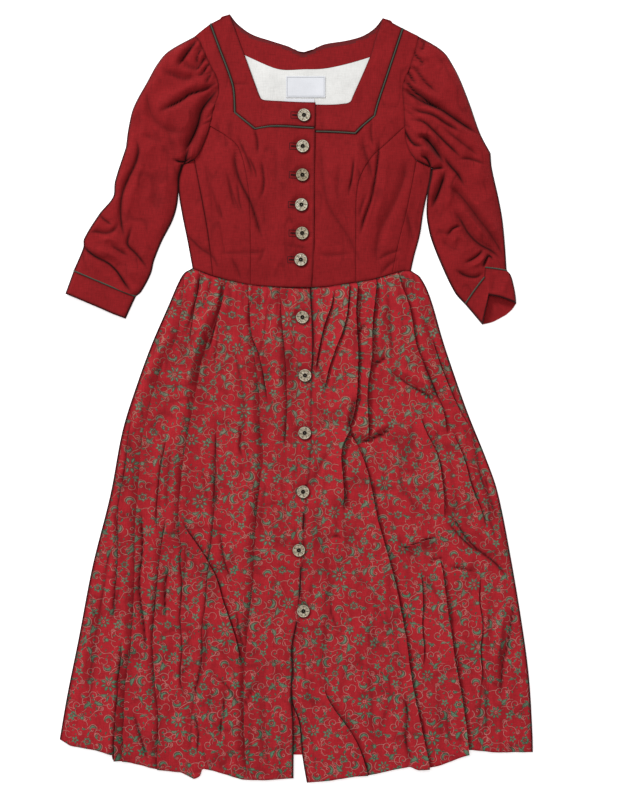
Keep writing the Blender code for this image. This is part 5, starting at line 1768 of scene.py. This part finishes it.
def skirtNet(side):
    edge = skirtEdges[side]
    waist = waistOf(side)[:: 1 if side == "right" else -1] - (0.0, 0.2)
    hem = np.array(edge["hem"], float)
    rows = skirt["rows"]
    outer, front = curved(edge["side"], rows), curved(edge["front"], rows)
    outer[0], front[0] = waist[0], waist[-1]
    down = np.linspace(0.0, 1.0, rows + 1)
    across = [np.linspace(0.0, 1.0, skirt["columns"] + 1)[None] * np.ones((rows + 1, 1))]
    width = np.linalg.norm(front - outer, axis=1)
    for *_, path in map(creaseParts, mainFolds[side]):
        line = np.array(path, float)
        share = np.full(rows + 1, 0.5)
        for _ in range(4):
            y = outer[:, 1] * (1 - share) + front[:, 1] * share
            x = np.interp(-y, -line[:, 1], line[:, 0])
            share = np.clip((x - outer[:, 0]) / (front[:, 0] - outer[:, 0]), 0.02, 0.98)
        for offset in skirt["nearFold"]:
            across.append(np.clip(share + offset / width, 0.004, 0.996)[:, None])
    for offset in (0.8, 1.9):
        across += [(offset / width)[:, None], (1.0 - offset / width)[:, None]]
    u = np.sort(np.concatenate(across, axis=1), axis=1)
    u3, v3 = u[..., None], down[:, None, None]
    top, bottom = alongLine(waist, u), alongLine(hem, u)
    net = outer[:, None] * (1 - u3) + front[:, None] * u3
    net = net + (top - waist[0] * (1 - u3) - waist[-1] * u3) * (1 - v3) ** 3
    net = net + (bottom - hem[0] * (1 - u3) - hem[-1] * u3) * v3**3
    return drawnIn(net)


def clothPlaces(net, side):
    # where each point is on the cloth: folds take cloth out of sight
    places = net.copy()
    flat = net.reshape(-1, 2)
    extra = np.zeros(len(flat))
    for lift, _, _, _, path in map(creaseParts, mainFolds[side]):
        line = curved(path, 3 * len(path))
        signed, along, _, length = besideLine(flat, line)
        # a fold that starts at the waist takes cloth from there on, others take it little by little
        strength = 1.0 if path[0][1] > 165 else ease(along / skirt["hiddenOver"])
        strength = strength * (1.0 if path[-1][1] < -540 else ease((length - along) / skirt["hiddenOver"]))
        beyond = signed < 0 if side == "right" else signed > 0
        extra += np.where(beyond, strength * max(lift - skirt["hiddenFrom"], 0.0) * skirt["hiddenPerLift"], 0.0)
    places[..., 0] += extra.reshape(net.shape[:2]) * (-1 if side == "right" else 1)
    return places


def buildSkirt(look):
    pieces = {}
    for seed, side in enumerate(("right", "left")):
        net = skirtNet(side)
        places = clothPlaces(net, side)
        fromWaist, fromHem, fromSide, fromFront = edgeGaps(net)
        heights = skirt["base"] + skirt["waistRise"] * (1.0 - ease(fromWaist / skirt["waistRiseOver"]))
        heights = heights + skirt["bodyRise"] * ease(fromWaist / 45.0) * ease(fromSide / skirt["bodyOver"])
        gathers = gatherCreases(waistOf(side), skirt, side, seed)
        form, fine = softForm(net, skirt, seed)
        fine = fine * ease(fromWaist / 30.0)
        heights = heights + form * ease(fromWaist / 16.0) - skirt["wrinkleDepth"] * fine
        moved, lifted, paintedShade = pressCreases(net, heights, mainFolds[side], skirt["mainDeeper"])
        moved, lifted, smaller = pressCreases(moved, lifted, [*smallCreases[side], *gathers], skirt["smallDeeper"])
        calmTo, over = skirt["calm"][side]
        calm = ease((fromFront - calmTo) / over)
        lifted = skirt["base"] + (heights - skirt["base"]) * (0.45 + 0.55 * calm) + (lifted - heights) * calm
        if side == "right":
            inPlacket = 1.0 - ease((fromFront - skirt["placketFlat"]) / skirt["placketSlope"])
            lifted = lifted + skirt["placketLift"] * inPlacket
        lifted = np.clip(lifted, skirt["lowest"], skirt["highest"])
        lifted = skirt["sideTop"] + (lifted - skirt["sideTop"]) * ease(fromSide / skirt["sideOver"])
        held = np.minimum(ease(fromSide / 8.0), ease(fromFront / 8.0)) * ease(fromWaist / 6.0)
        moved = net + (moved - net) * held[..., None]
        # painted shade in folds, creases and wrinkles, along the edges, waist and hem, and round the buttons
        paintedShade = darkest(
            paintedShade * held, smaller * held, skirt["wrinkleShade"] * fine * held,
            edgeShadeLine(fromSide), edgeShadeLine(fromFront), shadeFrom(fromWaist, *skirt["waistShade"]),
            shadeFrom(fromHem, *skirt["hemShade"]), buttonShadow(net, 0.6, 2.2))
        # painted shadow of the right front's edge on the left front
        if side == "left":
            rightEdge = curved(skirtEdges["right"]["front"], 200)[::-1]
            past = net[..., 0] - np.interp(net[..., 1], rightEdge[:, 1], rightEdge[:, 0])
            paintedShade = darkest(paintedShade, 0.75 * np.exp(-np.abs(past - 0.8) / 1.8))
        lifted = seatButtons(moved, lifted)
        # the waist goes in under the bodice's edge
        lifted = skirt["tuckTop"] + (lifted - skirt["tuckTop"]) * ease((fromWaist + 0.8) / skirt["tuckOver"])
        inward = unit(net[0] - net[2]) * skirt["tuck"]
        moved, places = np.concatenate([moved[:1] + inward, moved]), np.concatenate([places[:1] + inward, places])
        lifted = np.concatenate([np.minimum(lifted[:1], skirt["tuckTop"]), lifted])
        name = "skirt_front_" + side
        pieces[name] = sheetPiece(name, moved, lifted, places, look, skirt["wall"],
                                  np.concatenate([paintedShade[:1], paintedShade]))

    outline = np.vstack([
        wholeWaist() - (0.0, 0.2),
        curved(skirtEdges["left"]["side"], 60)[1:],
        curved(hemBack, 60)[::-1][1:],
        curved(skirtEdges["right"]["side"], 60)[::-1][1:-1],
    ])
    pieces["skirt_back"] = flatPiece("skirt_back", outline, 0.0, 1.2, look)
    return pieces


# buttons: cast discs with a raised rim, a ring of beads, a sunk eye and a rivet

button = {
    "radius": 10.0, "foot": 9.1, "footDepth": 0.3, "edge": 1.5, "field": 2.1, "rim": 3.0, "rimWidth": 1.6,
    "eye": 2.8, "eyeDepth": 1.4,
    "ages": (0.1, 0.12, 0.8, 0.1, 0.6, 0.15, 0.45, 0.38, 0.4, 0.4, 0.45, 0.42),
    "rivet": 0.8, "beads": 14, "beadPlace": 6.0, "beadSize": 0.85, "vertices": 56,
    "marks": (0, 1, 8, 15, 16, 17, 26, 33, 34, 42, 43, 50),   # dark marks across the field
}


def buttonMaterial():
    material = newMaterial("agedButtonMetal")
    tree = material.node_tree
    where = Value(newNode(tree, "TexCoord", {}).outputs["Object"])
    tarnish = noisy(where, 420.0, 4.0)
    # dark marks across the field, and painted shade in the sunk eye and round the outer edge
    marksAndShade = attribute(tree, "marksAndShade")
    worn = clamped((tarnish - 0.36) * 2.6)
    pale = mixed("RGBA", worn, (0.34, 0.275, 0.190, 1.0), (0.95, 0.90, 0.76, 1.0))
    brown = mixed("RGBA", worn, (0.20, 0.145, 0.090, 1.0), (0.56, 0.455, 0.30, 1.0))
    older = attribute(tree, "age") + (noisy(where, 90.0) - 0.5) * 0.3
    setLooks(material, {
        "Base Color": mixed("RGBA", marksAndShade, mixed("RGBA", older, pale, brown), (0.018, 0.013, 0.010, 1.0)),
        "Roughness": 0.34 + tarnish * 0.28 + marksAndShade * 0.4, "Metallic": 0.2 - marksAndShade * 0.2,
        "Specular IOR Level": 0.12, "Normal": bumped(tarnish, 0.25, 0.0001),
    })
    return material


def modelButton(name):
    # a disc whose top is inset and moved step by step, then beads and a rivet
    field, depth = button["field"], button["footDepth"] * mm
    bpy.ops.object.select_all(action="DESELECT")
    bpy.ops.mesh.primitive_cylinder_add(
        vertices=button["vertices"], radius=button["foot"] * mm, depth=depth, location=(0, 0, depth / 2))
    disc = bpy.context.object
    bpy.ops.object.transform_apply(location=True, rotation=True, scale=True)
    bpy.ops.object.mode_set(mode="EDIT")
    bpy.ops.mesh.select_all(action="DESELECT")
    bpy.ops.object.mode_set(mode="OBJECT")
    for face in disc.data.polygons:
        face.select = face.normal.z > 0.9
    bpy.ops.object.mode_set(mode="EDIT")
    radius = button["foot"]
    rim, inRim, eye = button["rim"], button["radius"] - button["rimWidth"], button["eye"]
    # radius and height of each further ring, from the underside over the rim into the eye
    for nextRadius, height in (
        (button["radius"], button["edge"]), (button["radius"] - 0.25, rim - 0.5), (button["radius"] - 0.8, rim),
        (inRim, rim - 0.15), (inRim - 0.5, field), (4.3, field - 0.1), (3.9, field + 0.35), (eye + 0.3, field + 0.35),
        (eye, field + 0.05), (eye - 0.15, field - button["eyeDepth"]),
    ):
        bpy.ops.mesh.extrude_region_move()
        bpy.ops.transform.resize(value=(nextRadius / radius, nextRadius / radius, 1.0), center_override=(0, 0, 0))
        bpy.ops.object.mode_set(mode="OBJECT")
        for vertex in disc.data.vertices:
            if vertex.select:
                vertex.co.z = height * mm
        bpy.ops.object.mode_set(mode="EDIT")
        radius = nextRadius
    bpy.ops.object.mode_set(mode="OBJECT")
    parts, place = [disc], button["beadPlace"] * mm
    for k in range(button["beads"]):
        angle = 2 * math.pi * k / button["beads"]
        bpy.ops.object.select_all(action="DESELECT")
        bpy.ops.mesh.primitive_uv_sphere_add(
            segments=8, ring_count=5, radius=button["beadSize"] * mm,
            location=(place * math.cos(angle), place * math.sin(angle), (field - 0.15) * mm))
        bpy.ops.transform.resize(value=(1.0, 1.0, 0.75), center_override=(0, 0, field * mm))
        parts.append(bpy.context.object)
    bpy.ops.object.select_all(action="DESELECT")
    bpy.ops.mesh.primitive_uv_sphere_add(
        segments=12, ring_count=7, radius=button["rivet"] * mm,
        location=(0, 0, (field - button["eyeDepth"] + 0.1) * mm))
    parts.append(bpy.context.object)
    bpy.ops.object.select_all(action="DESELECT")
    for part in parts:
        part.select_set(True)
    bpy.context.view_layer.objects.active = disc
    bpy.ops.object.join()
    bpy.ops.object.transform_apply(location=True, rotation=True, scale=True)
    disc.name = disc.data.name = name
    # dark marks across the field; painted shade in the sunk eye and at the outer edge
    marksAndShade = disc.data.attributes.new("marksAndShade", "FLOAT", "POINT")
    for vertex, value in zip(disc.data.vertices, marksAndShade.data):
        far, height = vertex.co.xy.length / mm, vertex.co.z / mm
        step = round(math.atan2(vertex.co.y, vertex.co.x) / (2 * math.pi) * button["vertices"]) % button["vertices"]
        onField = 4.1 < far < inRim and height < field + 0.02
        if far < eye + 0.5:
            value.value = 0.4 if far < button["rivet"] * 0.5 else 1.0
        elif far > button["radius"] - 0.5:
            value.value = 0.95
        elif onField:
            value.value = 0.85 if step in button["marks"] else 0.12
    return disc


def buildButtons(material):
    master = modelButton("button")
    plain = master.data.copy()
    for number, (x, y) in enumerate(buttonPlaces, 1):
        name = f"button_{number:02d}"
        piece = master if number == 1 else master.copy()
        if number > 1:
            piece.data = plain.copy()
            bpy.context.scene.collection.objects.link(piece)
        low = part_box(name)[0]
        turned = Matrix.Translation((x * mm, y * mm, low[2])) @ Matrix.Rotation(math.radians(37.0 * number), 4, "Z")
        piece.data.transform(turned)
        piece.name = "cast_" + name
        piece.data.name = piece.name
        age = piece.data.attributes.new("age", "FLOAT", "POINT")
        age.data.foreach_set("value", [button["ages"][number - 1]] * len(piece.data.vertices))
        piece.data.materials.clear()
        piece.data.materials.append(material)
        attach(piece, "root")
        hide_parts(name)
        only(piece)
        bpy.ops.object.shade_smooth_by_angle(angle=math.radians(40))


# run

setCamera()
setStudio()
weave, motifs = weaveGroup(), printGroup()
looks = {name: clothMaterial(name, weave, motifs) for name in cloths}
print("materials made")

parts = {}
parts.update(buildUnderPieces(looks))
parts.update(buildLabel(looks))
parts.update(buildBodiceFronts(looks["darkRedLinen"]))
print("bodice made")
parts.update(buildSleeves(looks["darkRedLinen"]))
cuffPieces, cuffSeams = buildCuffs(looks["darkRedLinen"])
parts.update(cuffPieces)
buildPiping(looks["greenPiping"], cuffSeams)
print("sleeves made")
parts.update(buildSkirt(looks["redScrollPrint"]))
print("skirt made")
buildButtons(buttonMaterial())
buildButtonholes(parts, looks)
buildStitches(parts, looks)
print("buttons and sewing made")

bpy.ops.object.select_all(action="DESELECT")
bpy.context.view_layer.update()
